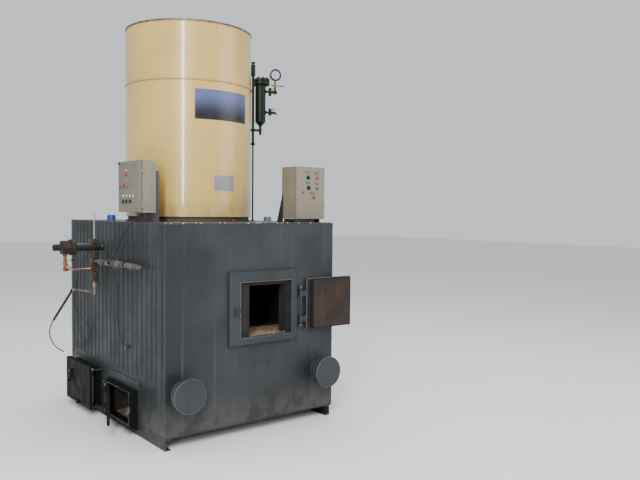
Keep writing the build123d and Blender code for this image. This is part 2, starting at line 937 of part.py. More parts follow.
def make_drum():
    """The drum's base, two jacket lengths, top plate, flue collar and plates."""
    parts["drum_base"] = rod((drum_x, drum_y, block_top), (0, 0, 1),
                             drum_radius - drum_base_inset, drum_base_height)
    inner = drum_radius - drum_wall
    parts["drum_jacket_lower"] = drum_ring(drum_radius, inner, drum_foot, drum_lower_height)
    band_radius = drum_radius + seam_band_proud
    profile = (
        (0, inner),
        (0, band_radius),
        (seam_band_height, band_radius),
        (seam_band_height, drum_radius),
        (drum_upper_height, drum_radius),
        (drum_upper_height, inner),
    )
    parts["drum_jacket_upper"] = lathe((drum_x, drum_y, drum_seam), (0, 0, 1), profile)
    jacket_top = drum_seam + drum_upper_height
    parts["drum_top_plate"] = drum_ring(drum_radius + drum_top_lip, flue_radius,
                                        jacket_top, drum_top_thickness)
    collar_foot = jacket_top + drum_top_thickness
    collar = (
        (0, flue_radius),
        (0, flue_radius + flue_flange_width),
        (flue_flange_thickness, flue_radius + flue_flange_width),
        (flue_flange_thickness, flue_radius + flue_wall),
        (flue_height, flue_radius + flue_wall),
        (flue_height, flue_radius),
    )
    parts["chimney_collar"] = lathe((drum_x, drum_y, collar_foot), (0, 0, 1), collar)
    parts["drum_plates"] = Compound([
        drum_plate(sign_half_angle, drum_seam - sign_below_seam, sign_height, sign_thickness),
        drum_plate(name_half_angle, drum_foot + name_above_foot, name_height, name_thickness),
    ])


def cabinet(width, depth, height):
    """A cabinet's body and its pan-shaped door, with the door facing -X and its front at Y 0."""
    door = block(0, cab_door_thickness, 0, width, 0, height)
    door -= block(cab_wall, cab_door_thickness, cab_wall, width - cab_wall,
                  cab_wall, height - cab_wall)
    body_front = cab_door_thickness + cab_door_gap
    body = block(body_front, depth, 0, width, 0, height)
    body -= block(body_front, depth - cab_wall, cab_wall, width - cab_wall,
                  cab_wall, height - cab_wall)
    half = cab_hinge_length / 2
    for level in (cab_hinge_inset, height - cab_hinge_inset):
        door += block(cab_door_thickness - cab_hinge_leaf, cab_door_thickness,
                      -cab_hinge_gap, 0, level - half, level + half)
        door += bar((cab_door_thickness, -cab_hinge_gap, level - half), (0, 0, 1),
                    cab_hinge_radius, cab_hinge_length, control_sides)
        pin_foot = level - 2 * half - 2
        pin_head = level - half - hinge_running_gap
        body += bar((cab_door_thickness, -cab_hinge_gap, pin_foot), (0, 0, 1),
                    cab_hinge_radius, level - half - pin_foot, control_sides)
        body += block(cab_door_thickness, body_front + half, -cab_hinge_gap - 2, 0,
                      pin_foot, pin_head)
    return body, door


def make_left_cabinet():
    """A shallow steel cabinet at the block's left edge, with its door to the left."""
    foot = block_top + left_cab_raised
    head = foot + left_cab_height
    near = front_y + left_cab_from_front
    far = near + left_cab_width
    back = left_x + left_cab_depth
    body, door = cabinet(left_cab_width, left_cab_depth, left_cab_height)
    place = Pos(left_x, near, foot)
    body = place * body
    for index in range(3):
        gland_y = near + cab_hinge_inset + gland_pitch * index
        body += bar((back - gland_from_back, gland_y, foot), (0, 0, -1), gland_radius,
                    gland_length)
    parts["left_cabinet_body"] = body
    parts["left_cabinet_door"] = place * door
    middle = near + left_cab_width / 2
    parts["left_cabinet_controls"] = Compound([
        bar((left_x, middle + along, head - down), (-1, 0, 0), radius, reach, control_sides)
        for along, down, radius, reach in left_controls
    ])
    span = (near + bracket_near_margin, far - bracket_far_margin)
    bracket_head = head - bracket_below_top
    post = block(back, back + bracket_thickness, *span, block_top, bracket_head)
    post += block(back, back + bracket_flange, span[0], span[0] + bracket_thickness,
                  block_top, bracket_head)
    parts["left_cabinet_bracket"] = post


def make_right_cabinet():
    """A steel cabinet on the block's right front corner, with its door to the front."""
    x1 = right_x - right_cab_inset
    x0 = x1 - right_cab_width
    y0 = front_y + right_cab_setback
    y1 = y0 + right_cab_depth
    foot = block_top + right_cab_raised
    head = foot + right_cab_height
    body, door = cabinet(right_cab_width, right_cab_depth, right_cab_height)
    place = Pos(x1, y0, foot) * Rot(0, 0, 90)
    parts["right_cabinet_body"] = place * body
    parts["right_cabinet_door"] = place * door
    parts["right_cabinet_controls"] = Compound([
        bar((x0 + along, y0, head - down), (0, -1, 0), radius, reach, control_sides)
        for along, down, radius, reach in right_controls
    ])
    span = (y0 + plinth_near_margin, y1 - plinth_far_margin)
    plinth_left = x0 + plinth_left_margin
    plinth = block(plinth_left, plinth_left + plinth_width, *span, block_top, foot)
    leg_right = x1 - leg_inset
    leg = block(leg_right - leg_thickness, leg_right, *span, block_top, foot)
    outline = Polyline([(x0 - gusset_reach, block_top), (x0, block_top),
                        (x0, block_top + gusset_height)], close=True)
    gusset = extrude(Plane.XZ * make_face(outline), gusset_thickness, dir=(0, 1, 0))
    gusset_y = y1 - 2 * gusset_thickness
    parts["right_cabinet_stand"] = Compound([plinth, leg, Pos(0, gusset_y, 0) * gusset])


standpipe_reach = drum_radius + standpipe_from_drum
column_reach = standpipe_reach + standpipe_radius + standpipe_gap + column_radius
gauge_reach = column_reach + column_flange_radius + gauge_clear_of_flange + gauge_radius
column_foot = block_top + column_above_block
column_head = column_foot + column_height
gauge_level = column_head + gauge_above_column
upper_cock_level = column_head - upper_cock_below_top


def beside_drum(shape):
    """Places a piece that is built with X out from the drum's axis on the column's line."""
    return Pos(drum_x, drum_y, 0) * Rot(0, 0, column_bearing) * shape


def make_standpipe():
    """The thin drain tube, the standpipe and the valve that joins it to the drum."""
    joint = block_top + joint_above_block
    valve_foot = column_head + valve_above_column
    pipe = lathe((standpipe_reach, 0, block_top), (0, 0, 1), (
        (0, 0),
        (0, drain_tube_radius),
        (joint_above_block, drain_tube_radius),
        (joint_above_block, standpipe_radius),
        (valve_foot - block_top, standpipe_radius),
        (valve_foot - block_top, 0),
    ))
    pipe += bar((standpipe_reach, 0, valve_foot), (0, 0, 1), valve_radius, valve_height)
    pipe += bar((standpipe_reach, 0, valve_foot + valve_height), (0, 0, 1), valve_stem_radius,
                valve_stem_height)
    pipe += rod((drum_radius, 0, valve_foot + inlet_above_valve_foot), (1, 0, 0), inlet_radius,
                standpipe_from_drum)
    pipe -= rod((0, 0, joint), (0, 0, 1), drum_radius, valve_foot + valve_height - joint)
    parts["column_standpipe"] = beside_drum(pipe)


def make_level_column():
    """The column: neck, cone, body and a flange pair with a flat where the standpipe passes."""
    neck = column_cone_height + return_below_column
    flange_low = neck + column_height
    lid_low = flange_low + column_flange_thickness + column_flange_gap
    profile = (
        (0, 0),
        (0, column_neck_radius),
        (neck - column_cone_height, column_neck_radius),
        (neck, column_radius),
        (flange_low, column_radius),
        (flange_low, column_flange_radius),
        (flange_low + column_flange_thickness, column_flange_radius),
        (flange_low + column_flange_thickness, column_radius),
        (lid_low, column_radius),
        (lid_low, column_flange_radius),
        (lid_low + column_flange_thickness, column_flange_radius),
        (lid_low + column_flange_thickness, 0),
    )
    body = lathe((column_reach, 0, column_foot - neck), (0, 0, 1), profile)
    flat = standpipe_reach + standpipe_radius + column_flange_gap
    body -= block(column_reach - 2 * column_flange_radius, flat,
                  -column_flange_radius, column_flange_radius, column_head, 2 * column_head)
    return_level = column_foot - return_below_column
    body += rod((standpipe_reach + standpipe_radius, 0, return_level), (1, 0, 0),
                return_radius, column_reach - standpipe_reach - standpipe_radius)
    parts["level_column"] = beside_drum(body)


def make_cocks():
    """Two cocks with levers, the gauge stem with its test rod, and the pressure gauge."""
    start = column_reach + column_radius
    body_x = start + cock_body_offset
    boss_foot = gauge_level - gauge_radius - gauge_boss_height
    cocks = []
    for level in (upper_cock_level, column_foot + lower_cock_above_foot):
        cock = bar((start, 0, level), (1, 0, 0), cock_radius, gauge_reach - start + cock_radius,
                   control_sides)
        cock += bar((body_x, 0, level - cock_body_height / 2), (0, 0, 1), cock_body_radius,
                    cock_body_height)
        lever_z = level + cock_body_height / 2
        cock += block(body_x, body_x + cock_lever_length, -cock_lever_width / 2,
                      cock_lever_width / 2, lever_z, lever_z + cock_lever_thickness)
        cocks.append(cock)
    cocks[0] += bar((gauge_reach, 0, upper_cock_level), (0, 0, 1), stem_radius,
                    boss_foot - upper_cock_level, control_sides)
    cocks[0] += bar((gauge_reach - test_rod_inward, 0, gauge_level - test_rod_below_gauge),
                    (1, 0, 0), test_rod_radius, test_rod_inward + test_rod_outward)
    parts["try_cocks"] = beside_drum(Compound(cocks))

    front = gauge_depth / 2
    profile = (
        (0, 0),
        (0, gauge_case_radius),
        (gauge_depth - gauge_bezel_depth, gauge_case_radius),
        (gauge_depth - gauge_bezel_depth, gauge_radius),
        (gauge_depth, gauge_radius),
        (gauge_depth, gauge_dial_radius),
        (gauge_depth - gauge_recess, gauge_dial_radius),
        (gauge_depth - gauge_recess, 0),
    )
    gauge = lathe((gauge_reach, front, gauge_level), (0, -1, 0), profile)
    gauge += bar((gauge_reach, 0, boss_foot), (0, 0, 1), gauge_boss_radius,
                 gauge_radius + gauge_boss_height - gauge_case_radius / 2)
    parts["pressure_gauge"] = beside_drum(gauge)


def make_outlet():
    """The outlet pipe, and its head: a flange pair, a large nut and a bored stub."""
    outward = (-1, 0, 0)
    parts["outlet_pipe"] = rod((left_x, feed_y, outlet_level), outward, outlet_radius,
                               outlet_pipe_length)
    second = outlet_flange_thickness + outlet_gasket_thickness
    nut_start = second + outlet_flange_thickness
    nut_end = nut_start + outlet_nut_length
    stub_start = nut_end + outlet_shoulder_length
    stub_end = stub_start + outlet_stub_length
    profile = (
        (0, 0),
        (0, outlet_flange_radius),
        (outlet_flange_thickness, outlet_flange_radius),
        (outlet_flange_thickness, outlet_gasket_radius),
        (second, outlet_gasket_radius),
        (second, outlet_flange_radius),
        (nut_start, outlet_flange_radius),
        (nut_start, outlet_shoulder_radius),
        (nut_end, outlet_shoulder_radius),
        (stub_start, outlet_stub_radius),
        (stub_end, outlet_stub_radius),
        (stub_end, outlet_stub_bore),
        (stub_start, outlet_stub_bore),
        (stub_start, 0),
    )
    end_x = left_x - outlet_pipe_length
    head = lathe((end_x, feed_y, outlet_level), outward, profile)
    head += bar((end_x - nut_start, feed_y, outlet_level), outward, outlet_nut_radius,
                outlet_nut_length, spin=30)
    parts["outlet_head"] = head


def make_feed_stack():
    """The manifold with its tees and unions, the bypass beside it and the vent tube over it."""
    def fitting(drop, radius, height):
        """A hexagonal union round the manifold."""
        return bar((feed_x, feed_y, outlet_level - drop - height / 2), (0, 0, 1), radius, height)

    def tee(level):
        """A square tee round the manifold."""
        return block(feed_x - tee_half_width, feed_x + tee_half_width, feed_y - tee_half_width,
                     feed_y + tee_half_width, level - tee_height / 2, level + tee_height / 2)

    pipe = parts["outlet_pipe"]
    bypass_level = outlet_level - bypass_drop
    stack = rod((feed_x, feed_y, outlet_level - manifold_length), (0, 0, 1), manifold_radius,
                manifold_length) - pipe
    stack += fitting(upper_union_drop, upper_union_radius, upper_union_height)
    stack += fitting(lower_union_drop, lower_union_radius, lower_union_height)
    stack += tee(run_level) + tee(bypass_level)

    bypass_x = left_x - outlet_pipe_length - bypass_reach
    nut_flat = outlet_level - outlet_nut_radius * math.cos(math.radians(30))
    bypass_foot = bypass_level - bypass_radius
    stack += bar((bypass_x, feed_y, bypass_foot), (0, 0, 1), bypass_radius,
                 nut_flat - bypass_foot)
    stack += bar((bypass_x, feed_y, bypass_level), (1, 0, 0), bypass_tube_radius,
                 feed_x - bypass_x, control_sides)
    stack += bar((bypass_x, feed_y, outlet_level - bypass_handle_drop), (1, 0, 0),
                 bypass_handle_radius, bypass_handle_length)

    vent = bar((feed_x, feed_y, outlet_level), (0, 0, 1), vent_socket_radius,
               vent_socket_height) - pipe
    vent += bar((feed_x, feed_y, outlet_level + vent_socket_height), (0, 0, 1), vent_radius,
                vent_length, control_sides)
    parts["feed_stack"] = Compound([stack, vent])


def make_feed_run():
    """The horizontal run with its fittings and the pocket that the sensor leads enter."""
    start = feed_y - tee_half_width
    run = rod((feed_x, start, run_level), (0, -1, 0), run_radius, run_length - tee_half_width)
    for along, radius, length in run_fittings:
        run += bar((feed_x, feed_y - along, run_level), (0, -1, 0), radius, length)
    run += bar((feed_x, feed_y - capillary_start_along_run, run_level), (0, 0, -1),
               capillary_boss_radius, capillary_boss_drop)
    run += bar(pocket_foot, pocket_direction, pocket_radius, pocket_length, control_sides)
    parts["feed_run"] = run


def make_drain():
    """The drain elbow, its slanted branch and the stiff sleeve that hangs from its end."""
    foot = outlet_level - manifold_length - drain_elbow_length
    drain = rod((feed_x, feed_y, foot), (0, 0, 1), drain_elbow_radius, drain_elbow_length)
    branch = Vector(-drain_reach, 0, drain_rise)
    start = Vector(feed_x, feed_y, foot + drain_above_foot)
    drain += rod(start.to_tuple(), branch.to_tuple(), drain_radius, branch.length)
    knee = start + branch
    drain += bar(knee.to_tuple(), sleeve_direction.to_tuple(), drain_nut_radius,
                 drain_nut_length)
    drain += rod((knee + sleeve_direction * drain_nut_length).to_tuple(),
                 sleeve_direction.to_tuple(), sleeve_radius, sleeve_length)
    parts["drain_branch"] = drain
    return knee + sleeve_direction * (drain_nut_length + sleeve_length)


pocket_foot = (feed_x, feed_y - pocket_along_run, run_level + pocket_radius)
pocket_direction = (-0.6, -0.8, 0)
sleeve_direction = Vector(-math.cos(math.radians(sleeve_slope)), 0,
                          -math.sin(math.radians(sleeve_slope)))


def wall_gland(y, z, way):
    """A small gland box on the left wall with a nose along way, and where its cable starts."""
    half = wall_gland_width / 2
    back = left_x - casing_sheet if z > ash_plate_top else left_x
    box = block(left_x - wall_gland_depth, back, y - half, y + half, z - half, z + half)
    nose_start = Vector(left_x - wall_gland_reach, y, z) + Vector(*way) * half
    box += bar(nose_start.to_tuple(), way, wall_gland_radius, wall_gland_nose)
    return box, (nose_start + Vector(*way) * wall_gland_nose).to_tuple()


def make_cables():
    """The wall glands, and the free cables with their ends in glands or fittings."""
    upper_y = (rib_middle(branch_gland_rib) + rib_middle(branch_gland_rib + 1)) / 2
    upper, branch_start = wall_gland(upper_y, branch_gland_level, (0, 0, -1))
    lower, branch_end = wall_gland(back_y - foot_gland_from_back, foot_gland_level, (0, 0, 1))
    clip_y = (rib_middle(capillary_clip_rib) + rib_middle(capillary_clip_rib + 1)) / 2
    clip, capillary_end = wall_gland(clip_y, run_level - capillary_clip_drop, (0, 1, 0))
    parts["cable_glands"] = Compound([upper, lower, clip])
    x, y, z = branch_start
    inward = (x, branch_end[1], branch_end[2] + nose_lead_out)
    parts["branch_cable"] = cable("branch_cable", [
        branch_start, (x, y, z - nose_lead_out),
        *between(branch_start, branch_end, branch_route), inward, branch_end,
    ], branch_radius)

    x, y, z = (feed_x, feed_y - capillary_start_along_run, run_level - capillary_boss_drop)
    end_x, end_y, end_z = capillary_end
    parts["capillary_lead"] = cable("capillary_lead", [
        (x, y, z), (x, y, z - capillary_lead_out),
        *between((x, y, z), capillary_end, capillary_route),
        (end_x, end_y + clip_lead_out, end_z), capillary_end,
    ], capillary_radius)

    start = (left_x + left_cab_depth - gland_from_back,
             front_y + left_cab_from_front + cab_hinge_inset,
             block_top + left_cab_raised - gland_length)
    tip, before_tip = [
        tuple(pocket_foot[axis] + pocket_direction[axis] * along for axis in range(3))
        for along in (pocket_length, pocket_length + pocket_lead_out)
    ]
    parts["sensor_leads"] = cable("sensor_leads", [
        start, (start[0], start[1], start[2] - gland_lead_out),
        *between(start, tip, leads_route), before_tip, tip,
    ], leads_radius)

    sleeve_end = make_drain()
    leaves = sleeve_end + sleeve_direction * sleeve_lead_out
    route = [sleeve_end, leaves]
    route += [leaves + Vector(left, back, -down) for left, back, down in drain_lead_route]
    lead = cable("drain_lead", [point.to_tuple() for point in route], drain_lead_radius)
    last = route[-1] - route[-2]
    lead += bar(route[-1].to_tuple(), last.to_tuple(), ferrule_radius, ferrule_length)
    parts["drain_lead"] = lead


def make_caps():
    """Capped spare tappings on the top plate."""
    left = rod((left_x + left_cap_inset, left_cap_behind_middle, block_top), (0, 0, 1),
               cap_radius, left_cap_height)
    right = rod((right_x - right_cap_inset, -right_cap_before_middle, block_top), (0, 0, 1),
                cap_radius, right_cap_height)
    parts["tapping_caps"] = Compound([left, right])


make_base()
make_walls()
make_casing()
make_firing_doorway()
make_firing_door()
make_ash_doorways()
make_near_ash_door()
make_far_ash_door()
make_hinge_pins()
make_cleanouts()
make_drum()
make_left_cabinet()
make_right_cabinet()
make_standpipe()
make_level_column()
make_cocks()
make_outlet()
make_feed_stack()
make_feed_run()
make_cables()
make_caps()

os.makedirs("parts", exist_ok=True)
for name, shape in parts.items():
    export_step(shape, f"parts/{name}.step")
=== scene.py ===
"""Looks of a wood pellet boiler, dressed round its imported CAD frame.

Every length is in metres and every place is in the frame of the CAD model: X runs
right along the furnace front, Y to the back and Z up from the floor.
"""

import json
import logging
import math
import random
from dataclasses import dataclass
from enum import Enum
from typing import NamedTuple

import bmesh
import bpy
from mathutils import Matrix, Vector, noise

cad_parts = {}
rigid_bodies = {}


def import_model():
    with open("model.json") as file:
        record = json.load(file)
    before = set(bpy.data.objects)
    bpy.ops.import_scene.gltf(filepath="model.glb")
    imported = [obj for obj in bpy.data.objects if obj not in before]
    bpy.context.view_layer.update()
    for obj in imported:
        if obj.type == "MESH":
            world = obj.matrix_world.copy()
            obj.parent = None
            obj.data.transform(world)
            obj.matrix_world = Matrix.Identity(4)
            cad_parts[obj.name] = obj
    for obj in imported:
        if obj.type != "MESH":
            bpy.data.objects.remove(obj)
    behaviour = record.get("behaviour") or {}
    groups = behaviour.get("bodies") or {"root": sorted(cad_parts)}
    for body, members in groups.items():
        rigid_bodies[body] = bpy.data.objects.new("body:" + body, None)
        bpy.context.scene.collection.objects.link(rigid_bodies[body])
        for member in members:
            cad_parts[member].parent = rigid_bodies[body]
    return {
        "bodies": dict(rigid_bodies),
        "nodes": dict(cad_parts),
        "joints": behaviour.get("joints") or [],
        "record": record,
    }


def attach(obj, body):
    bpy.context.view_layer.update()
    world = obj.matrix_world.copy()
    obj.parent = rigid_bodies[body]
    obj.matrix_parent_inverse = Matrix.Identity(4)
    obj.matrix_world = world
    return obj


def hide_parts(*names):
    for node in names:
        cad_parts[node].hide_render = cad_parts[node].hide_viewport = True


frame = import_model()

LOG = logging.getLogger("boiler")
Point = tuple[float, float, float]
Colour = tuple[float, float, float]
Outline = list[tuple[float, float]]
Socket = bpy.types.NodeSocket
Value = Socket | float | Point

UP, DOWN, FRONT, BACK = (0, 0, 1), (0, 0, -1), (0, -1, 0), (0, 1, 0)
LEFT, RIGHT = (-1, 0, 0), (1, 0, 0)
LEFT_X, RIGHT_X, FRONT_Y, TOP_Z = -0.715, 0.715, -0.885, 1.520
DRUM_X, DRUM_Y, DRUM_RADIUS = -0.045, 0.040, 0.500
SHARP_EDGE = math.radians(32)
ZONE_SOFTNESS = 0.002
GRAIN_DETAIL = 2.0


def linear(colour: Colour) -> tuple[float, float, float, float]:
    """Turns a display colour into a linear one.

    Args:
        colour: Red, green and blue from 0 to 255.

    Returns:
        The linear colour with an alpha of one.
    """
    red, green, blue = (
        share / 12.92 if share <= 0.04045 else ((share + 0.055) / 1.055) ** 2.4
        for share in (value / 255 for value in colour))
    return (red, green, blue, 1.0)


def add_object(name: str, data: bpy.types.ID) -> bpy.types.Object:
    """Makes an object and links it to the scene.

    Args:
        name: Its name.
        data: Its mesh, curve, light or camera.

    Returns:
        The object.
    """
    made = bpy.data.objects.new(name, data)
    bpy.context.scene.collection.objects.link(made)
    return made


def baked(holder: bpy.types.Object) -> bpy.types.Mesh:
    """Takes the final mesh of an object and removes the object.

    Args:
        holder: An object with a modifier, or a text.

    Returns:
        The plain mesh.
    """
    bpy.context.view_layer.update()
    seen = holder.evaluated_get(bpy.context.evaluated_depsgraph_get())
    mesh = bpy.data.meshes.new_from_object(seen)
    bpy.data.objects.remove(holder)
    return mesh


def placed(place: Point, degrees: float, axis: str = "Z") -> Matrix:
    """The move that turns a shape about one axis and then carries it to a place.

    Args:
        place: Where the origin goes.
        degrees: The angle.
        axis: The axis's letter.

    Returns:
        The matrix.
    """
    return Matrix.Translation(place) @ Matrix.Rotation(math.radians(degrees), 4, axis)


def swung(x: float, y: float, degrees: float) -> Matrix:
    """The swing about an upright hinge pin at X and Y."""
    return placed((x, y, 0), degrees) @ Matrix.Translation((-x, -y, 0))


class Graph:
    """A material's node graph, with short ways to add to it."""

    def __init__(self, name: str) -> None:
        """Starts a material that has only its surface shader.

        Args:
            name: The material's name.
        """
        self.material = bpy.data.materials.new(name)
        self.material.use_nodes = True
        self.tree = self.material.node_tree
        self.tree.nodes.clear()
        self.shader = self.add("BsdfPrincipled")
        self.add("OutputMaterial", Surface=self.shader.outputs["BSDF"])
        self.place = self.add("TexCoord").outputs["Object"]

    def put(self, socket: Socket, value: Value) -> None:
        """Fills an input.

        Args:
            socket: The input.
            value: A socket to link, a number, a vector or a display colour.
        """
        if isinstance(value, Socket):
            self.tree.links.new(value, socket)
        else:
            socket.default_value = linear(value) if socket.type == "RGBA" else value

    def add(self, kind: str, **values: Value) -> bpy.types.Node:
        """Adds a node.

        Args:
            kind: Its type, without the ShaderNode in front.
            **values: What fills its inputs, by name, with _ for a space.

        Returns:
            The node.
        """
        node = self.tree.nodes.new(f"ShaderNode{kind}")
        for name, value in values.items():
            self.put(node.inputs[name.replace("_", " ")], value)
        return node

    def noise(self, scale: float, detail: float, stretch: Point = (1.0, 1.0, 1.0),
              offset: Point = (0.0, 0.0, 0.0)) -> Socket:
        """Cloudy noise in object space.

        Args:
            scale: Features per metre.
            detail: Octaves of finer noise.
            stretch: Extra factors along the three axes.
            offset: Shift that sets one pattern apart from another.

        Returns:
            The noise's value.
        """
        place = self.add("Mapping", Vector=self.place, Scale=stretch, Location=offset)
        return self.add("TexNoise", Vector=place.outputs["Vector"], Scale=scale,
                        Detail=detail).outputs["Fac"]

    def axis(self, letter: str) -> Socket:
        """The object coordinate along X, Y or Z."""
        return self.add("SeparateXYZ", Vector=self.place).outputs[letter]

    def band(self, value: Socket, low: float, high: float, start: float, end: float) -> Socket:
        """Maps a stretch of values to a smooth ramp.

        Args:
            value: The value to read.
            low: Value where the ramp starts.
            high: Value where the ramp ends.
            start: What the ramp gives at low.
            end: What the ramp gives at high.

        Returns:
            The ramp's value.
        """
        node = self.add("MapRange", Value=value, From_Min=low, From_Max=high, To_Min=start,
                        To_Max=end)
        node.interpolation_type = "SMOOTHSTEP"
        return node.outputs["Result"]

    def combine(self, first: Socket, second: Socket | float,
                operation: str = "MULTIPLY") -> Socket:
        """Combines two values.

        Args:
            first: The first value.
            second: The second value.
            operation: The Math node's operation.

        Returns:
            The result.
        """
        node = self.add("Math")
        node.operation = operation
        self.put(node.inputs[0], first)
        self.put(node.inputs[1], second)
        return node.outputs["Value"]

    def blend(self, share: Socket, first: Value, second: Value) -> Socket:
        """Mixes two colours.

        Args:
            share: Share of the second colour.
            first: The colour at zero.
            second: The colour at one.

        Returns:
            The mixed colour.
        """
        node = self.add("Mix")
        node.data_type = "RGBA"
        for index, value in ((0, share), (6, first), (7, second)):
            self.put(node.inputs[index], value)
        return node.outputs[2]


@dataclass(frozen=True)
class Ramp:
    """A smooth step along one axis."""

    axis: str
    low: float
    high: float
    start: float = 0.0
    end: float = 1.0

    def read(self, graph: Graph) -> Socket:
        """The ramp's value in a graph."""
        return graph.band(graph.axis(self.axis), self.low, self.high, self.start, self.end)


@dataclass(frozen=True)
class Cloud:
    """Noise that is cut to a smooth step."""

    scale: float
    detail: float
    low: float = 0.3
    high: float = 0.7
    start: float = 0.0
    end: float = 1.0
    stretch: Point = (1.0, 1.0, 1.0)
    offset: Point = (0.0, 0.0, 0.0)

    def read(self, graph: Graph) -> Socket:
        """The pattern's value in a graph."""
        raw = graph.noise(self.scale, self.detail, self.stretch, self.offset)
        return graph.band(raw, self.low, self.high, self.start, self.end)


@dataclass(frozen=True)
class Layer:
    """A colour, or a mottle of two, laid where its masks allow it."""

    colour: Colour
    mask: Ramp | Cloud
    also: tuple[Ramp | Cloud, ...] = ()
    mottle: Colour | None = None
    mottle_noise: tuple[float, float] = (90.0, 4.0)

    def lay(self, graph: Graph, under: Value) -> Socket:
        """Lays the layer over a colour.

        Args:
            graph: The material's graph.
            under: The colour under it.

        Returns:
            The blended colour.
        """
        share = self.mask.read(graph)
        for mask in self.also:
            share = graph.combine(share, mask.read(graph))
        over: Value = self.colour
        if self.mottle:
            over = graph.blend(graph.noise(*self.mottle_noise), self.colour, self.mottle)
        return graph.blend(share, under, over)


@dataclass(frozen=True)
class Finish:
    """A procedural finish: layers over a base colour, a sheen and a relief."""

    colour: Colour
    layers: tuple[Layer, ...]
    sheen: Cloud | float
    waves: tuple[float, float] | tuple[float, float, Point]
    depth: float
    grain: tuple[float, float] | None = None
    metallic: float = 0.0
    extras: tuple[tuple[str, Value], ...] = ()

    def make(self, name: str) -> bpy.types.Material:
        """Builds the material.

        Args:
            name: The material's name.

        Returns:
            The material.
        """
        graph = Graph(name)
        colour: Value = self.colour
        for layer in self.layers:
            colour = layer.lay(graph, colour)
        sheen = self.sheen.read(graph) if isinstance(self.sheen, Cloud) else self.sheen
        relief = graph.noise(*self.waves)
        if self.grain:
            fine = graph.combine(graph.noise(self.grain[0], GRAIN_DETAIL), self.grain[1])
            relief = graph.combine(relief, fine, "ADD")
        bump = graph.add("Bump", Strength=1.0, Distance=self.depth, Height=relief)
        for socket, value in (("Base Color", colour), ("Roughness", sheen),
                              ("Metallic", self.metallic), ("Normal", bump.outputs["Normal"]),
                              *self.extras):
            graph.put(graph.shader.inputs[socket], value)
        return graph.material


class Wear(Enum):
    """How worn a paint is, with the share of soil in its runs."""

    CLEAN = 0.0
    DUSTY = 0.38
    SCUFFED = 0.6


def paint(colour: Colour, patch: Colour, soil: Colour = (58, 50, 42), wear: Wear = Wear.DUSTY,
          roughness: float = 0.45, ripple: float = 0.0006, soil_height: float = 0.0,
          gloss: float = 0.5) -> Finish:
    """Painted sheet metal with patches, specks, runs and chips.

    Args:
        colour: Its colour.
        patch: The colour of its patches and specks.
        soil: The colour of its runs and of the soil at its foot.
        wear: How worn it is.
        roughness: Its roughness.
        ripple: Height of its unevenness.
        soil_height: How high the soil reaches, or nothing.
        gloss: Its specular level.

    Returns:
        The finish.
    """
    layers = [Layer(patch, Cloud(2.6, 5.0, 0.35, 0.68)),
              Layer(patch, Cloud(38.0, 6.0, 0.52, 0.75, 0.0, 0.45))]
    if wear is not Wear.CLEAN:
        layers.append(Layer(soil, Cloud(5.0, 5.0, 0.55, 0.85, 0.0, wear.value, (3.2, 3.2, 0.22))))
    if soil_height:
        layers.append(Layer(soil, Ramp("Z", 0.0, soil_height, 0.75, 0.0),
                            (Cloud(9.0, 6.0, 0.3, 0.62),)))
    if wear is Wear.SCUFFED:
        layers.append(Layer((104, 66, 44), Cloud(16.0, 8.0, 0.66, 0.71, 0.0, 0.75,
                                                 offset=(4.0, 1.0, 7.0))))
    return Finish(colour, tuple(layers),
                  Cloud(11.0, 4.0, start=roughness - 0.07, end=roughness + 0.12), (3.2, 2.0),
                  ripple, (420.0, 0.12), extras=(("Specular IOR Level", gloss),))


def metal(colour: Colour, dark: Colour, rust: float = 0.0, roughness: float = 0.42,
          metallic: float = 0.8) -> Finish:
    """Bare metal, from bright to heavily rusted.

    Args:
        colour: Its colour.
        dark: Its darker colour.
        rust: How rusted it is, from 0 to 1.
        roughness: Its roughness.
        metallic: How metallic it is.

    Returns:
        The finish.
    """
    layers = [Layer(dark, Cloud(26.0, 6.0, 0.32, 0.68))]
    if rust:
        layers.append(Layer((98, 56, 36), Cloud(34.0, 8.0, 0.64 - 0.3 * rust, 0.74 - 0.2 * rust,
                                                offset=(1.0, 5.0, 3.0)), mottle=(58, 38, 30)))
    return Finish(colour, tuple(layers),
                  Cloud(40.0, 5.0, start=roughness - 0.1, end=roughness + 0.2), (180.0, 6.0),
                  0.0006, metallic=metallic)


def zoned(colour: Colour, dark: Colour, zones: tuple[tuple[str, float, float, Colour], ...],
          rust: float = 0.5, roughness: float = 0.6, metallic: float = 0.3) -> Finish:
    """Iron pipework whose colour changes by place: collars, bands, tubes.

    Args:
        colour: Its colour.
        dark: Its darker colour.
        zones: The axis, start, end and colour of each stretch.
        rust: How rusted it is, from 0 to 1.
        roughness: Its roughness.
        metallic: How metallic it is.

    Returns:
        The finish.
    """
    layers = [Layer(dark, Cloud(26.0, 6.0, 0.32, 0.68))]
    for axis, low, high, tint in zones:
        layers.append(Layer(tint, Ramp(axis, low - ZONE_SOFTNESS, low + ZONE_SOFTNESS), (
            Ramp(axis, high - ZONE_SOFTNESS, high + ZONE_SOFTNESS, 1.0, 0.0),)))
    layers.append(Layer((92, 52, 36), Cloud(34.0, 8.0, 0.68 - 0.3 * rust, 0.8 - 0.2 * rust, 0.0,
                                            0.8, offset=(1.0, 5.0, 3.0)), mottle=(52, 36, 30)))
    return Finish(colour, tuple(layers),
                  Cloud(40.0, 5.0, start=roughness - 0.12, end=roughness + 0.15), (150.0, 6.0),
                  0.0012, metallic=metallic)


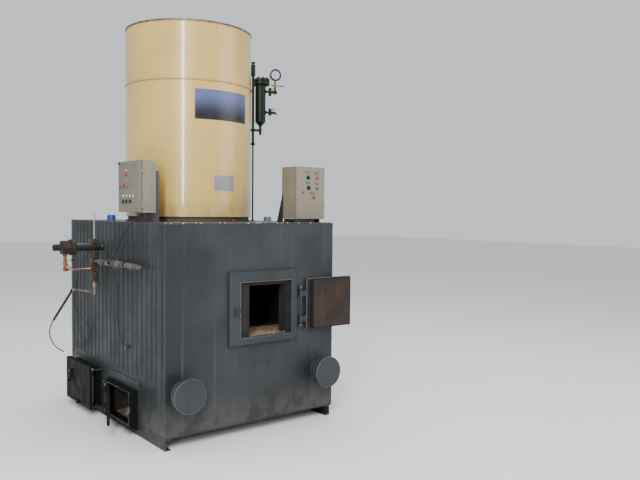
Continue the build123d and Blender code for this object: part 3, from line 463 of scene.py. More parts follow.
def brick(colour: Colour, dark: Colour, ash: Colour, ash_level: float = 0.0) -> Finish:
    """Fired refractory or ash: crazed, streaked and pale towards the top.

    Args:
        colour: Its colour.
        dark: Its darker colour.
        ash: The colour of its streaks and of the ash on it.
        ash_level: The height above which ash lies on it, or nothing.

    Returns:
        The finish.
    """
    layers = [Layer(dark, Cloud(7.0, 8.0, 0.32, 0.66)),
              Layer(ash, Cloud(9.0, 6.0, 0.5, 0.75, 0.0, 0.6, (2.2, 2.2, 0.3)))]
    if ash_level:
        layers.append(Layer(ash, Ramp("Z", ash_level - 0.02, ash_level),
                            (Cloud(22.0, 7.0, 0.25, 0.55),)))
    return Finish(colour, tuple(layers), 0.88, (45.0, 8.0), 0.003)


def moulded(colour: Colour, roughness: float = 0.35, grain: float = 0.0002,
            glow: float = 0.0) -> Finish:
    """Plastic or rubber in one colour, with a fine grain.

    Args:
        colour: Its colour.
        roughness: Its roughness.
        grain: Height of its grain.
        glow: How strongly it shines.

    Returns:
        The finish.
    """
    darker = (colour[0] * 0.8, colour[1] * 0.8, colour[2] * 0.8)
    extras = (("Emission Color", colour), ("Emission Strength", glow)) if glow else ()
    return Finish(colour, (Layer(darker, Cloud(50.0, 4.0, 0.4, 0.75)),),
                  Cloud(60.0, 3.0, start=roughness - 0.05, end=roughness + 0.1), (500.0, 2.0),
                  grain, extras=extras)


PALETTE: dict[str, Finish] = {
    "casing": Finish(
        (48, 52, 54),
        (Layer((35, 38, 39), Cloud(2.1, 5.0, 0.32, 0.68)),
         Layer((30, 32, 34), Cloud(4.0, 6.0, 0.5, 0.8, 0.0, 0.55, (3.4, 3.4, 0.16))),
         Layer((72, 76, 79), Cloud(4.0, 6.0, 0.56, 0.8, 0.0, 0.5, (4.4, 4.4, 0.14),
                                   (5.0, 2.0, 1.0))),
         Layer((76, 77, 76), Cloud(60.0, 6.0, 0.6, 0.78, 0.0, 0.4)),
         Layer((70, 72, 73), Ramp("Z", 1.507, 1.511), (Cloud(24.0, 6.0, 0.25, 0.5, 0.45, 1.0),)),
         Layer((82, 74, 66), Ramp("Z", 0.08, 0.35, 0.55, 0.0), (Cloud(10.0, 7.0, 0.34, 0.6),)),
         Layer((78, 50, 36), Ramp("Y", -0.2, 0.85),
               (Ramp("Z", 1.47, 1.53), Ramp("X", -0.716, -0.69, 1.0, 0.0),
                Cloud(7.0, 8.0, 0.38, 0.6, offset=(2.0, 8.0, 5.0))))),
        Cloud(9.0, 5.0, start=0.36, end=0.56), (2.3, 3.0, (1.0, 1.0, 0.5)), 0.004, (300.0, 0.05),
        extras=(("Specular IOR Level", 0.3),)),
    "enamel": Finish(
        (202, 170, 94),
        (Layer((188, 157, 86), Cloud(1.7, 4.0, 0.35, 0.7)),
         Layer((172, 142, 84), Cloud(4.0, 5.0, 0.6, 0.85, 0.0, 0.28, (3.0, 3.0, 0.12))),
         Layer((120, 98, 66), Ramp("Z", 1.55, 1.72, 0.6, 0.0), (Cloud(8.0, 6.0, 0.3, 0.65),)),
         Layer((120, 98, 66), Ramp("Z", 2.572, 2.582, 0.0, 0.35),
               (Ramp("Z", 2.584, 2.598, 1.0, 0.0),)),
         Layer((176, 150, 104), Cloud(70.0, 4.0, 0.68, 0.78, 0.0, 0.4))),
        Cloud(5.0, 4.0, start=0.26, end=0.4), (2.0, 2.0, (1.0, 1.0, 0.35)), 0.003,
        extras=(("Coat Weight", 0.5), ("Coat Roughness", 0.07))),
    "sign": Finish(
        (8, 8, 12),
        (Layer((84, 94, 134), Ramp("Z", 2.322, 2.494)),
         Layer((66, 70, 92), Cloud(6.0, 4.0, 0.4, 0.7, 0.0, 0.25, (1.0, 1.0, 2.0))),
         Layer((138, 138, 144), Ramp("Z", 2.0, 2.1, 1.0, 0.0), mottle=(122, 122, 130),
               mottle_noise=(9.0, 3.0))),
        0.3, (3.0, 2.0), 0.002),
    "frame": paint((48, 52, 55), (40, 44, 46), (33, 31, 29), roughness=0.42, gloss=0.32),
    "ash_iron": paint((19, 20, 20), (13, 14, 14), (34, 29, 25), roughness=0.6,
                      soil_height=0.12, gloss=0.12),
    "skid": paint((40, 43, 46), (30, 32, 35), (60, 54, 47), Wear.SCUFFED, 0.55,
                  soil_height=0.1),
    "cabinet": paint((126, 121, 104), (117, 112, 95), (88, 80, 66), roughness=0.48,
                     ripple=0.0003, gloss=0.35),
    "cabinet_front": paint((114, 109, 94), (104, 99, 84), (96, 88, 74), roughness=0.46,
                           ripple=0.0003),
    "cabinet_edge": paint((52, 46, 38), (38, 34, 28), wear=Wear.CLEAN, roughness=0.7),
    "lip": paint((176, 172, 162), (150, 146, 136), (110, 102, 90), roughness=0.4,
                 ripple=0.0002),
    "drum_trim": paint((70, 62, 50), (48, 42, 36), (30, 26, 22), Wear.SCUFFED, 0.6),
    "bracket": paint((68, 62, 71), (56, 51, 59), (38, 35, 36), roughness=0.5),
    "black_stand": paint((34, 35, 38), (24, 25, 27), (60, 56, 50), Wear.SCUFFED, 0.5),
    "green": paint((13, 28, 16), (9, 19, 11), (24, 24, 17), roughness=0.34, gloss=0.2),
    "outlet_green": paint((22, 28, 27), (16, 20, 20), (30, 26, 22), roughness=0.34, gloss=0.7),
    "bead_paint": paint((58, 62, 65), (46, 50, 52), wear=Wear.CLEAN, roughness=0.4),
    "rim": paint((84, 88, 88), (62, 64, 64), (48, 40, 34), Wear.SCUFFED, 0.4),
    "steel": metal((128, 128, 128), (82, 82, 84), 0.25, 0.4),
    "zinc": metal((122, 124, 122), (84, 86, 86), 0.3, 0.45),
    "pale": metal((122, 118, 109), (76, 71, 64), 0.3, 0.4, 0.55),
    "rusty": metal((66, 45, 35), (38, 30, 27), 0.6, 0.7, 0.25),
    "rust_light": metal((150, 104, 74), (104, 68, 48), 0.5, 0.7, 0.15),
    "copper": metal((158, 92, 54), (98, 58, 38), 0.3, 0.5, 0.5),
    "brass": metal((176, 140, 72), (122, 92, 52), 0.1, 0.38),
    "brass_dark": metal((48, 45, 34), (27, 27, 22), 0.15, 0.5, 0.6),
    "grate": metal((62, 54, 48), (36, 32, 30), 0.6, 0.75, 0.3),
    "pan": metal((120, 112, 96), (88, 80, 68), 0.35, 0.5, 0.5),
    "edge": metal((64, 64, 62), (42, 42, 42), 0.3, 0.5, 0.3),
    "worn_rim": metal((100, 90, 78), (60, 50, 42), 0.35, 0.6, 0.3),
    "ash_edge": metal((48, 46, 44), (30, 29, 28), 0.3, 0.5, 0.4),
    "stub": metal((50, 44, 44), (34, 31, 31), 0.3, 0.6, 0.3),
    "plate_rivet": metal((186, 184, 182), (132, 130, 128), 0.0, 0.3),
    "plug": brick((47, 32, 21), (30, 22, 15), (58, 41, 28)),
    "lining": brick((34, 27, 24), (16, 14, 13), (48, 34, 28)),
    "hearth": brick((96, 74, 54), (58, 44, 34), (150, 122, 90), 0.7),
    "mortar": brick((178, 170, 152), (132, 122, 104), (150, 140, 122)),
    "ash": brick((140, 122, 98), (84, 68, 52), (168, 156, 140)),
    "red": moulded((170, 26, 30), 0.22, glow=0.12),
    "black": moulded((22, 22, 22)),
    "white": moulded((214, 212, 202), 0.4),
    "rubber": moulded((20, 20, 20), 0.55, 0.0004),
    "blue": moulded((20, 78, 148), 0.45),
    "cap_grey": moulded((84, 102, 130), 0.5),
    "dial": moulded((190, 182, 196), 0.4),
    "ink": moulded((18, 18, 20), 0.5),
    # Near-black for the rope gasket and for painted shade round the firing door's plug.
    "seal_and_painted_shade": moulded((16, 14, 13), 0.8),
    "head_skin": zoned((46, 38, 33), (28, 25, 23),
                       (("X", -1.3, -1.040, (30, 27, 27)), ("X", -0.9665, -0.946, (36, 31, 29)),
                        ("X", -1.026, -0.9665, (42, 36, 33)))),
    "stack_skin": zoned((76, 50, 40), (48, 34, 30),
                        (("Z", 1.366, 1.7, (168, 164, 154)), ("X", -1.3, -0.985, (150, 86, 50)),
                         ("X", -0.985, -0.802, (190, 182, 172)))),
    "drain_skin": zoned((150, 146, 138), (106, 99, 90), (("X", -1.3, -0.952, (18, 18, 19)),),
                        0.15, 0.45, 0.5),
    "standpipe_skin": zoned((26, 22, 28), (18, 16, 20),
                            (("Z", 2.742, 2.84, (20, 36, 24)), ("Z", 1.5, 1.545, (20, 36, 24))),
                            0.0, 0.35, 0.1),
}

COATS: dict[str, tuple[str, ...]] = {
    "casing": ("front_wall_sides", "front_wall_middle", "left_wall_piers", "left_wall_upper",
               "right_wall", "rear_wall", "furnace_roof", "casing_sheets"),
    "skid": ("skids", "cross_members", "furnace_floor"),
    "frame": ("cleanout_caps", "firing_door_frame", "door_hinge_pins", "firing_door_leaf",
              "ash_backing_plate"),
    "grate": ("fire_grate",),
    "lining": ("firing_throat_lining",),
    "hearth": ("hearth",),
    "plug": ("firing_door_lining",),
    "ash_iron": ("ash_door_frames", "near_ash_leaf", "far_ash_leaf"),
    "drum_trim": ("drum_base",),
    "enamel": ("drum_jacket_lower", "drum_jacket_upper"),
    "pan": ("drum_top_plate", "chimney_collar"),
    "sign": ("drum_plates",),
    "cabinet": ("left_cabinet_body", "right_cabinet_body", "right_cabinet_door"),
    "cabinet_front": ("left_cabinet_door",),
    "bracket": ("left_cabinet_bracket",),
    "black_stand": ("right_cabinet_stand",),
    "standpipe_skin": ("column_standpipe",),
    "green": ("level_column",),
    "brass_dark": ("try_cocks",),
    "outlet_green": ("outlet_pipe",),
    "head_skin": ("outlet_head",),
    "stack_skin": ("feed_stack",),
    "pale": ("feed_run",),
    "drain_skin": ("drain_branch",),
    "zinc": ("cable_glands",),
}


class HeadTree:
    """Geometry Nodes that set one small head on each point of a mesh."""

    def __init__(self) -> None:
        """Builds the tree with its named inputs."""
        self.tree = bpy.data.node_groups.new("set_heads", "GeometryNodeTree")
        face = self.tree.interface
        face.new_socket("Geometry", in_out="INPUT", socket_type="NodeSocketGeometry")
        self.ids = {
            name: face.new_socket(name, in_out="INPUT",
                                  socket_type=f"NodeSocket{kind}").identifier
            for name, kind in (("Sides", "Int"), ("Radius", "Float"), ("Height", "Float"),
                               ("Facing", "Vector"), ("Finish", "Material"))}
        face.new_socket("Geometry", in_out="OUTPUT", socket_type="NodeSocketGeometry")
        source, result, head, lift, raised, half, align, spin, about, turn, place, real, dress = (
            self.tree.nodes.new(kind) for kind in (
                "NodeGroupInput", "NodeGroupOutput", "GeometryNodeMeshCylinder",
                "GeometryNodeTransform", "ShaderNodeCombineXYZ", "ShaderNodeMath",
                "FunctionNodeAlignRotationToVector", "FunctionNodeRandomValue",
                "FunctionNodeAxisAngleToRotation", "FunctionNodeRotateRotation",
                "GeometryNodeInstanceOnPoints", "GeometryNodeRealizeInstances",
                "GeometryNodeSetMaterial"))
        half.operation = "MULTIPLY"
        half.inputs[1].default_value = 0.5
        spin.data_type = "FLOAT"
        spin.inputs["Seed"].default_value = 7
        spun = [socket for socket in spin.outputs if socket.type == "VALUE"][0]
        turn.rotation_space = "LOCAL"
        for start, end in (
                (source.outputs["Sides"], head.inputs["Vertices"]),
                (source.outputs["Radius"], head.inputs["Radius"]),
                (source.outputs["Height"], head.inputs["Depth"]),
                (source.outputs["Height"], half.inputs[0]),
                (half.outputs[0], raised.inputs["Z"]),
                (head.outputs["Mesh"], lift.inputs["Geometry"]),
                (raised.outputs[0], lift.inputs["Translation"]),
                (source.outputs["Facing"], align.inputs["Vector"]),
                (spun, about.inputs["Angle"]),
                (align.outputs["Rotation"], turn.inputs["Rotation"]),
                (about.outputs["Rotation"], turn.inputs["Rotate By"]),
                (source.outputs["Geometry"], place.inputs["Points"]),
                (lift.outputs["Geometry"], place.inputs["Instance"]),
                (turn.outputs["Rotation"], place.inputs["Rotation"]),
                (place.outputs["Instances"], real.inputs["Geometry"]),
                (real.outputs["Geometry"], dress.inputs["Geometry"]),
                (source.outputs["Finish"], dress.inputs["Material"]),
                (dress.outputs["Geometry"], result.inputs["Geometry"])):
            self.tree.links.new(start, end)

    def grow(self, points: list[Point], **values: object) -> bpy.types.Mesh:
        """Makes a mesh of heads.

        Args:
            points: Where each head's foot sits.
            **values: The tree's inputs by name.

        Returns:
            A plain mesh with all heads.
        """
        seat = bpy.data.meshes.new("seats")
        seat.from_pydata([tuple(point) for point in points], [], [])
        holder = add_object("seats", seat)
        modifier = holder.modifiers.new("heads", "NODES")
        modifier.node_group = self.tree
        for name, value in values.items():
            modifier[self.ids[name]] = value
        return baked(holder)


class Kit:
    """What all pieces share: the finishes and the tree that sets heads."""

    def __init__(self) -> None:
        """Makes every finish and the tree."""
        self.finishes = {name: finish.make(name) for name, finish in PALETTE.items()}
        self.heads = HeadTree()

    def coat(self, node: str, finish: str) -> None:
        """Gives a carried-over CAD node its finish.

        Args:
            node: The node's name.
            finish: The finish's name.
        """
        materials = frame["nodes"][node].data.materials
        if not materials:
            materials.append(self.finishes[finish])
        for index in range(len(materials)):
            materials[index] = self.finishes[finish]


class Rect(NamedTuple):
    """An upright rectangle, by its edges."""

    left: float
    right: float
    low: float
    high: float

    def rim(self, width: float) -> list["Rect"]:
        """The four bars of one width round it.

        Args:
            width: The bars' width.

        Returns:
            The bars at the left, the right, the top and the bottom.
        """
        left, right, low, high = self
        return [Rect(left - width, left, low - width, high + width),
                Rect(right, right + width, low - width, high + width),
                Rect(left, right, high, high + width), Rect(left, right, low - width, low)]


def circle(centre: Vector, side: Vector, other: Vector, radius: float, steps: int,
           start: float = 0.0) -> list[Vector]:
    """Points round a circle.

    Args:
        centre: The circle's centre.
        side: The direction of the first point.
        other: The direction a quarter turn on.
        radius: The circle's radius.
        steps: How many points.
        start: Angle of the first point, in radians.

    Returns:
        The points.
    """
    turns = [start + 2 * math.pi * step / steps for step in range(steps)]
    return [centre + radius * (math.cos(turn) * side + math.sin(turn) * other)
            for turn in turns]


def ring(centre: Point, way: Point, radius: float, count: int, start: float) -> list[Point]:
    """Places of bolts round a circle, from the level direction square to its axis.

    Args:
        centre: The circle's centre.
        way: Its axis.
        radius: Its radius.
        count: How many places.
        start: Angle of the first one, in degrees.

    Returns:
        The places.
    """
    axis = Vector(way)
    side = axis.cross(Vector(UP)) if way != UP else Vector(RIGHT)
    spots = circle(Vector(centre), side, axis.cross(side), radius, count, math.radians(start))
    return [tuple(spot) for spot in spots]


def stud(length: float, radius: float, end: float, shoulder: float) -> Outline:
    """Outline of a stud that is plain up to its shoulder and narrows to its end."""
    return [(0.0, radius), (shoulder, radius), (length, end)]


def band(length: float, radius: float, end: float, edge: float) -> Outline:
    """Outline of a nut or band that narrows to both ends."""
    return [(0.0, end), (edge, radius), (length - edge, radius), (length, end)]


def crust(low: tuple[float, float], high: tuple[float, float], level: float, swell: float,
          across: int, deep: int) -> bmesh.types.BMesh:
    """A lumpy closed layer of ash on a flat floor.

    Args:
        low: Its lowest X and Y.
        high: Its highest X and Y.
        level: Height of its flat underside.
        swell: Height of its highest lumps.
        across: Steps along X.
        deep: Steps along Y.

    Returns:
        The layer, ready to be taken into a piece.
    """
    part = bmesh.new()
    rows = []
    for j in range(deep + 1):
        row = []
        for i in range(across + 1):
            u, v = i / across, j / deep
            edge = min(min(u, 1 - u, v, 1 - v) * 4, 1.0)
            place = Vector((u * 7.0, v * 7.0, 3.0))
            lump = 0.5 + 0.5 * noise.noise(place) + 0.35 * noise.noise(place * 3.1)
            row.append(part.verts.new((
                low[0] + u * (high[0] - low[0]), low[1] + v * (high[1] - low[1]),
                level + swell * edge * max(lump, 0.02))))
        rows.append(row)
    for first, second in zip(rows, rows[1:]):
        for i in range(across):
            part.faces.new([first[i], first[i + 1], second[i + 1], second[i]])
    border = [row[0] for row in rows] + rows[-1][1:]
    border += [row[-1] for row in rows[-2::-1]] + rows[0][-2:0:-1]
    part.faces.new(border)
    return part


class Shaper:
    """Collects closed shapes with their finishes and makes one piece of them."""

    def __init__(self, kit: Kit, name: str, turn: Matrix | None = None) -> None:
        """Starts an empty piece.

        Args:
            kit: The shared finishes and heads.
            name: The piece's name.
            turn: What each shape is moved by, if anything. It may change between shapes.
        """
        self.kit, self.name, self.turn = kit, name, turn
        self.shape = bmesh.new()
        self.slots: list[str] = []

    def block(self, low: Point, high: Point, finish: str, bevel: float = 0.0) -> None:
        """Adds a box with rounded edges.

        Args:
            low: Its lowest corner.
            high: Its highest corner.
            finish: Its finish.
            bevel: Width of the rounding.
        """
        part = bmesh.new()
        middle = Vector([(high[i] + low[i]) / 2 for i in range(3)])
        for corner in bmesh.ops.create_cube(part, size=1.0)["verts"]:
            corner.co = Vector([corner.co[i] * (high[i] - low[i]) for i in range(3)]) + middle
        if bevel > 0:
            bmesh.ops.bevel(part, geom=list(part.edges), offset=bevel, segments=2,
                            affect="EDGES", profile=0.6)
        self.take(part, finish)

    def bars(self, rects: list[Rect], near: float, far: float, finish: str, bevel: float,
             sideways: bool = False) -> None:
        """Adds bars that lie in one upright plane.

        Args:
            rects: Their outlines, with Y as left and right in a sideways plane.
            near: Where they start along the plane's normal.
            far: Where they end.
            finish: Their finish.
            bevel: Width of their rounding.
            sideways: Whether the plane's normal is X and not Y.
        """
        for left, right, low, high in rects:
            if sideways:
                self.block((near, left, low), (far, right, high), finish, bevel)
            else:
                self.block((left, near, low), (right, far, high), finish, bevel)

    def skin(self, rings: list[list[Vector]], finish: str, loop: bool = False) -> None:
        """Adds a closed skin over a row of rings, any of which may be a single point.

        Args:
            rings: The rings' points.
            finish: Its finish.
            loop: Whether the last ring joins the first.
        """
        part = bmesh.new()
        rows = [[part.verts.new(spot) for spot in spots] for spots in rings]
        steps = max(len(row) for row in rows)
        for first, second in zip(rows, rows[1:] + rows[:1] if loop else rows[1:]):
            for step in range(steps):
                after = (step + 1) % steps
                corners = list(dict.fromkeys((
                    first[step % len(first)], first[after % len(first)],
                    second[after % len(second)], second[step % len(second)])))
                if len(corners) > 2:
                    part.faces.new(corners)
        if not loop:
            for row in (rows[0], rows[-1]):
                if len(row) > 2:
                    part.faces.new(row)
        self.take(part, finish)

    def lathe(self, origin: Point, way: Vector | Point, outline: Outline, finish: str,
              steps: int = 32) -> None:
        """Adds a shape turned about an axis and closed at both ends.

        Args:
            origin: A point on the axis.
            way: The axis's direction.
            outline: Pairs of distance along the axis and radius, from end to end.
            finish: Its finish.
            steps: Number of sides.
        """
        axis = Vector(way).normalized()
        side = axis.orthogonal().normalized()
        ends = (outline[0][0], 0.0), (outline[-1][0], 0.0)
        self.skin([circle(Vector(origin) + axis * along, side, axis.cross(side), radius,
                          steps if radius else 1)
                   for along, radius in (ends[0], *outline, ends[1])], finish)

    def torus(self, origin: Point, way: Vector | Point, radius: float, thick: float,
              finish: str, steps: int = 32, sides: int = 8) -> None:
        """Adds a ring of round section.

        Args:
            origin: Its centre.
            way: Its axis.
            radius: From the centre to the middle of its section.
            thick: Radius of its section.
            finish: Its finish.
            steps: Number of steps round the ring.
            sides: Number of sides of its section.
        """
        axis, centre = Vector(way).normalized(), Vector(origin)
        side = axis.orthogonal().normalized()
        middles = circle(centre, side, axis.cross(side), radius, steps)
        self.skin([circle(middle, (middle - centre).normalized(), axis, thick, sides)
                   for middle in middles], finish, True)

    def tube(self, points: list[Point], radius: float, finish: str, steps: int = 12) -> None:
        """Adds a round tube along a line of points.

        Args:
            points: The line.
            radius: The tube's radius.
            finish: Its finish.
            steps: Number of sides.
        """
        line = [Vector(point) for point in points]
        side = (line[1] - line[0]).orthogonal().normalized()
        rings = []
        for index, centre in enumerate(line):
            axis = (line[min(index + 1, len(line) - 1)] - line[max(index - 1, 0)]).normalized()
            side = (side - axis * side.dot(axis)).normalized()
            rings.append(circle(centre, side, axis.cross(side), radius, steps))
        self.skin(rings, finish)

    def slab(self, outline: list[Point], push: Point, finish: str) -> None:
        """Adds a flat shape pushed out to a thickness.

        Args:
            outline: Corners of the flat shape, in order.
            push: The thickness as a vector.
            finish: Its finish.
        """
        near = [Vector(corner) for corner in outline]
        self.skin([near, [corner + Vector(push) for corner in near]], finish)

    def heads(self, points: list[Point], facing: Point, radius: float, height: float,
              finish: str, sides: int = 6) -> None:
        """Adds small heads.

        Args:
            points: Where each head's foot sits.
            facing: The way that the heads point.
            radius: A head's radius.
            height: A head's height.
            finish: Their finish.
            sides: Sides of a head, six for a nut and more for a rivet.
        """
        self.mesh(self.kit.heads.grow(points, Sides=sides, Radius=radius, Height=height,
                                      Facing=facing, Finish=self.kit.finishes[finish]), finish)

    def mesh(self, source: bpy.types.Mesh, finish: str) -> None:
        """Adds a ready mesh in one finish.

        Args:
            source: The mesh, whose faces already point outwards.
            finish: Its finish.
        """
        part = bmesh.new()
        part.from_mesh(source)
        self.take(part, finish, False)

    def take(self, part: bmesh.types.BMesh, finish: str, outward: bool = True) -> None:
        """Moves a finished part into the piece.

        Args:
            part: The closed shape, freed here.
            finish: Its finish.
            outward: Whether its faces are first turned outwards.
        """
        if self.turn is not None:
            bmesh.ops.transform(part, matrix=self.turn, verts=list(part.verts))
        if outward:
            bmesh.ops.recalc_face_normals(part, faces=list(part.faces))
        if finish not in self.slots:
            self.slots.append(finish)
        for face in part.faces:
            face.material_index = self.slots.index(finish)
            face.smooth = True
        for edge in part.edges:
            if len(edge.link_faces) == 2 and edge.calc_face_angle(0.0) > SHARP_EDGE:
                edge.smooth = False
        store = bpy.data.meshes.new("part")
        part.to_mesh(store)
        part.free()
        self.shape.from_mesh(store)
        bpy.data.meshes.remove(store)

    def make(self, body: str, slot: str, replaces: str = "") -> bpy.types.Object:
        """Makes the object and lets it ride on its body.

        Args:
            body: The CAD body it moves with.
            slot: The record's material slot that goes with it; not used.
            replaces: The CAD node that it stands for, if any.

        Returns:
            The finished object.
        """
        mesh = bpy.data.meshes.new(self.name)
        self.shape.to_mesh(mesh)
        self.shape.free()
        for finish in self.slots:
            mesh.materials.append(self.kit.finishes[finish])
        piece = add_object(self.name, mesh)
        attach(piece, body)
        if replaces:
            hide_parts(replaces)
        LOG.info("%s: %d faces on %s", self.name, len(mesh.polygons), body)
        return piece


@dataclass
class Assembly:
    """A sub-assembly, whose pieces are made with the shared kit."""

    kit: Kit

    def piece(self, name: str, turn: Matrix | None = None) -> Shaper:
        """Starts one of its pieces."""
        return Shaper(self.kit, name, turn)


@dataclass
class Studio:
    """Pale floor, soft lights and the camera at the photograph's angle."""

    eye: Point = (-2.75968115, -5.05582907, 1.60178949)
    yaw: float = 38.76557788
    pitch: float = 2.31965
    roll: float = 0.49278
    focal: float = 691.4232
    picture_width: float = 640.0
    sensor_width: float = 36.0
    floor_half: float = 30.0

    def camera(self) -> None:
        """Places the camera."""
        yaw, pitch, roll = (math.radians(v) for v in (self.yaw, self.pitch, self.roll))
        level = Vector((math.sin(yaw), math.cos(yaw), 0))
        ahead = level * math.cos(pitch) + Vector((0, 0, -math.sin(pitch)))
        right = Vector((math.cos(yaw), -math.sin(yaw), 0))
        up = right.cross(ahead)
        rolled_right = right * math.cos(roll) + up * math.sin(roll)
        rolled_up = up * math.cos(roll) - right * math.sin(roll)
        data = bpy.data.cameras.new("camera")
        data.sensor_width = self.sensor_width
        data.lens = self.sensor_width * self.focal / self.picture_width
        camera = add_object("camera", data)
        turn = Matrix((rolled_right, rolled_up, -ahead)).transposed().to_4x4()
        camera.matrix_world = Matrix.Translation(self.eye) @ turn
        bpy.context.scene.camera = camera

    def floor(self) -> None:
        """Lays a pale floor."""
        mesh = bpy.data.meshes.new("floor")
        half = self.floor_half
        mesh.from_pydata([(-half, -half, 0), (half, -half, 0), (half, half, 0), (-half, half, 0)],
                         [], [(0, 1, 2, 3)])
        graph = Graph("floor_pale")
        tone = graph.blend(graph.noise(0.6, 2.0), (236, 236, 236), (228, 228, 228))
        graph.put(graph.shader.inputs["Base Color"], tone)
        graph.put(graph.shader.inputs["Roughness"], 0.9)
        mesh.materials.append(graph.material)
        add_object("floor", mesh)

    def lamp(self, name: str, place: Point, aim: Point, size: tuple[float, float],
             power: float) -> None:
        """Adds one soft area light.

        Args:
            name: The light's name.
            place: Where it stands.
            aim: The point that it faces.
            size: Its width and height.
            power: Its power in watts.
        """
        data = bpy.data.lights.new(name, "AREA")
        data.shape = "RECTANGLE"
        data.size, data.size_y = size
        data.energy = power
        lamp = add_object(name, data)
        lamp.location = place
        lamp.rotation_mode = "QUATERNION"
        lamp.rotation_quaternion = (Vector(aim) - Vector(place)).to_track_quat("-Z", "Y")

    def build(self) -> None:
        """Makes the camera, the floor, the world and the lamps."""
        self.camera()
        self.floor()
        world = bpy.data.worlds.new("studio")
        world.use_nodes = True
        back = world.node_tree.nodes["Background"]
        back.inputs["Color"].default_value = (0.93, 0.96, 1.0, 1.0)
        back.inputs["Strength"].default_value = 0.85
        bpy.context.scene.world = world
        self.lamp("key", (-3.2, -5.4, 6.4), (0.0, 0.0, 1.3), (3.5, 3.5), 340.0)
        self.lamp("fill", (4.5, -5.0, 3.5), (0.0, 0.0, 1.2), (4.0, 4.0), 120.0)
        self.lamp("top", (0.5, 1.0, 7.5), (0.0, 0.0, 1.5), (4.0, 4.0), 220.0)
        self.lamp("strip", (-4.0, -4.9, 3.3), (0.0, 0.0, 2.3), (0.45, 3.2), 230.0)


@dataclass(frozen=True)
class Route:
    """One free cable: its CAD node, its real size and ends, and its control points."""

    name: str
    radius: float
    length: float
    far_end: str
    stiffness: str
    points: tuple[Point, ...]


ROUTES: tuple[Route, ...] = (
    Route("sensor_leads", 0.005, 0.567, "object", "limp", (
        (-0.665, -0.425, 1.582), (-0.665, -0.425, 1.565), (-0.673, -0.425, 1.55),
        (-0.687, -0.4241, 1.5409), (-0.706, -0.423, 1.539), (-0.727, -0.421, 1.531),
        (-0.747, -0.4175, 1.515), (-0.763, -0.4121, 1.4899), (-0.773, -0.398, 1.4601),
        (-0.782, -0.365, 1.4255), (-0.788, -0.328, 1.3891), (-0.793, -0.303, 1.3472),
        (-0.8, -0.2849, 1.3014), (-0.812, -0.258, 1.2628), (-0.824, -0.2181, 1.2362),
        (-0.826, -0.17, 1.218), (-0.802, -0.138, 1.218))),
    Route("branch_cable", 0.004, 1.671, "object", "medium", (
        (-0.735, 0.3959, 1.33), (-0.735, 0.3959, 1.304), (-0.737, 0.4047, 1.2761),
        (-0.74, 0.4299, 1.2502), (-0.743, 0.468, 1.2305), (-0.746, 0.5149, 1.2057),
        (-0.748, 0.5598, 1.1746), (-0.75, 0.6059, 1.1301), (-0.751, 0.6398, 1.0834),
        (-0.75, 0.6641, 1.0233), (-0.749, 0.683, 0.955), (-0.751, 0.7031, 0.8897),
        (-0.753, 0.7031, 0.8255), (-0.752, 0.6721, 0.7706), (-0.75, 0.6122, 0.7322),
        (-0.748, 0.538, 0.7125), (-0.749, 0.4521, 0.6939), (-0.751, 0.3917, 0.668),
        (-0.753, 0.362, 0.64), (-0.755, 0.3599, 0.5996), (-0.756, 0.3859, 0.5716),
        (-0.757, 0.432, 0.5561), (-0.756, 0.5078, 0.5447), (-0.753, 0.5958, 0.524),
        (-0.749, 0.6851, 0.4919), (-0.745, 0.7542, 0.4494), (-0.741, 0.794, 0.3997),
        (-0.737, 0.8108, 0.3582), (-0.735, 0.815, 0.32), (-0.735, 0.815, 0.294))),
    Route("capillary_lead", 0.003, 0.635, "object", "stiff", (
        (-0.775, -0.205, 1.168), (-0.775, -0.205, 1.148), (-0.766, -0.1981, 1.1052),
        (-0.755, -0.186, 1.0618), (-0.746, -0.1721, 1.0118), (-0.741, -0.1571, 0.9578),
        (-0.738, -0.1442, 0.905), (-0.736, -0.1393, 0.85), (-0.736, -0.1442, 0.7949),
        (-0.736, -0.1602, 0.7421), (-0.736, -0.1841, 0.6921), (-0.735, -0.214, 0.6448),
        (-0.735, -0.2597, 0.612), (-0.735, -0.2897, 0.612))),
    Route("drain_lead", 0.004, 0.275, "fitting", "medium", (
        (-1.0846, 0.205, 0.7809), (-1.0966, 0.205, 0.7625), (-1.1166, 0.206, 0.7085),
        (-1.1166, 0.209, 0.6705), (-1.1046, 0.213, 0.6345), (-1.0906, 0.214, 0.5985),
        (-1.0666, 0.211, 0.5665), (-1.0326, 0.205, 0.5425))),
)


@dataclass
class Cables(Assembly):
    """The free cables, drawn as smooth curves along the routes of the CAD model."""

    def cable(self, route: Route, pieces: list[bpy.types.Object]) -> None:
        """Args:
            route: The cable, from where it leaves the object.
            pieces: Separate pieces on it; not used.
        """
        line = bpy.data.curves.new(route.name, "CURVE")
        line.dimensions = "3D"
        line.bevel_depth = route.radius
        line.bevel_resolution = 3
        line.resolution_u = 10
        line.use_fill_caps = True
        spline = line.splines.new("NURBS")
        spline.points.add(len(route.points) - 1)
        for point, place in zip(spline.points, route.points):
            point.co = (*place, 1.0)
        spline.order_u = 3
        spline.use_endpoint_u = True
        line.materials.append(self.kit.finishes["rubber"])
        piece = add_object(f"{route.name}_cord", line)
        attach(piece, "boiler")
        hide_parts(route.name)
        LOG.info("%s: %.3f m of cable", route.name, route.length)

    def ferrule(self, lead: Route) -> bpy.types.Object:
        """Makes the crimped metal end of the drain lead.

        Args:
            lead: The lead whose last point it sits on.

        Returns:
            The piece.
        """
        shaper = self.piece("drain_lead_ferrule")
        shaper.lathe(lead.points[-1], (0.034, -0.006, -0.024),
                     [(0.0, 0.0055), (0.002, 0.006), (0.009, 0.006), (0.0095, 0.0048),
                      (0.013, 0.0048), (0.0135, 0.006), (0.020, 0.006), (0.0215, 0.005)],
                     "zinc", 20)
        return shaper.make("boiler", "cable_black", lead.name)

    def build(self) -> None:
        """Draws every free cable."""
        for route in ROUTES:
            self.cable(route, [self.ferrule(route)] if route.far_end == "fitting" else [])


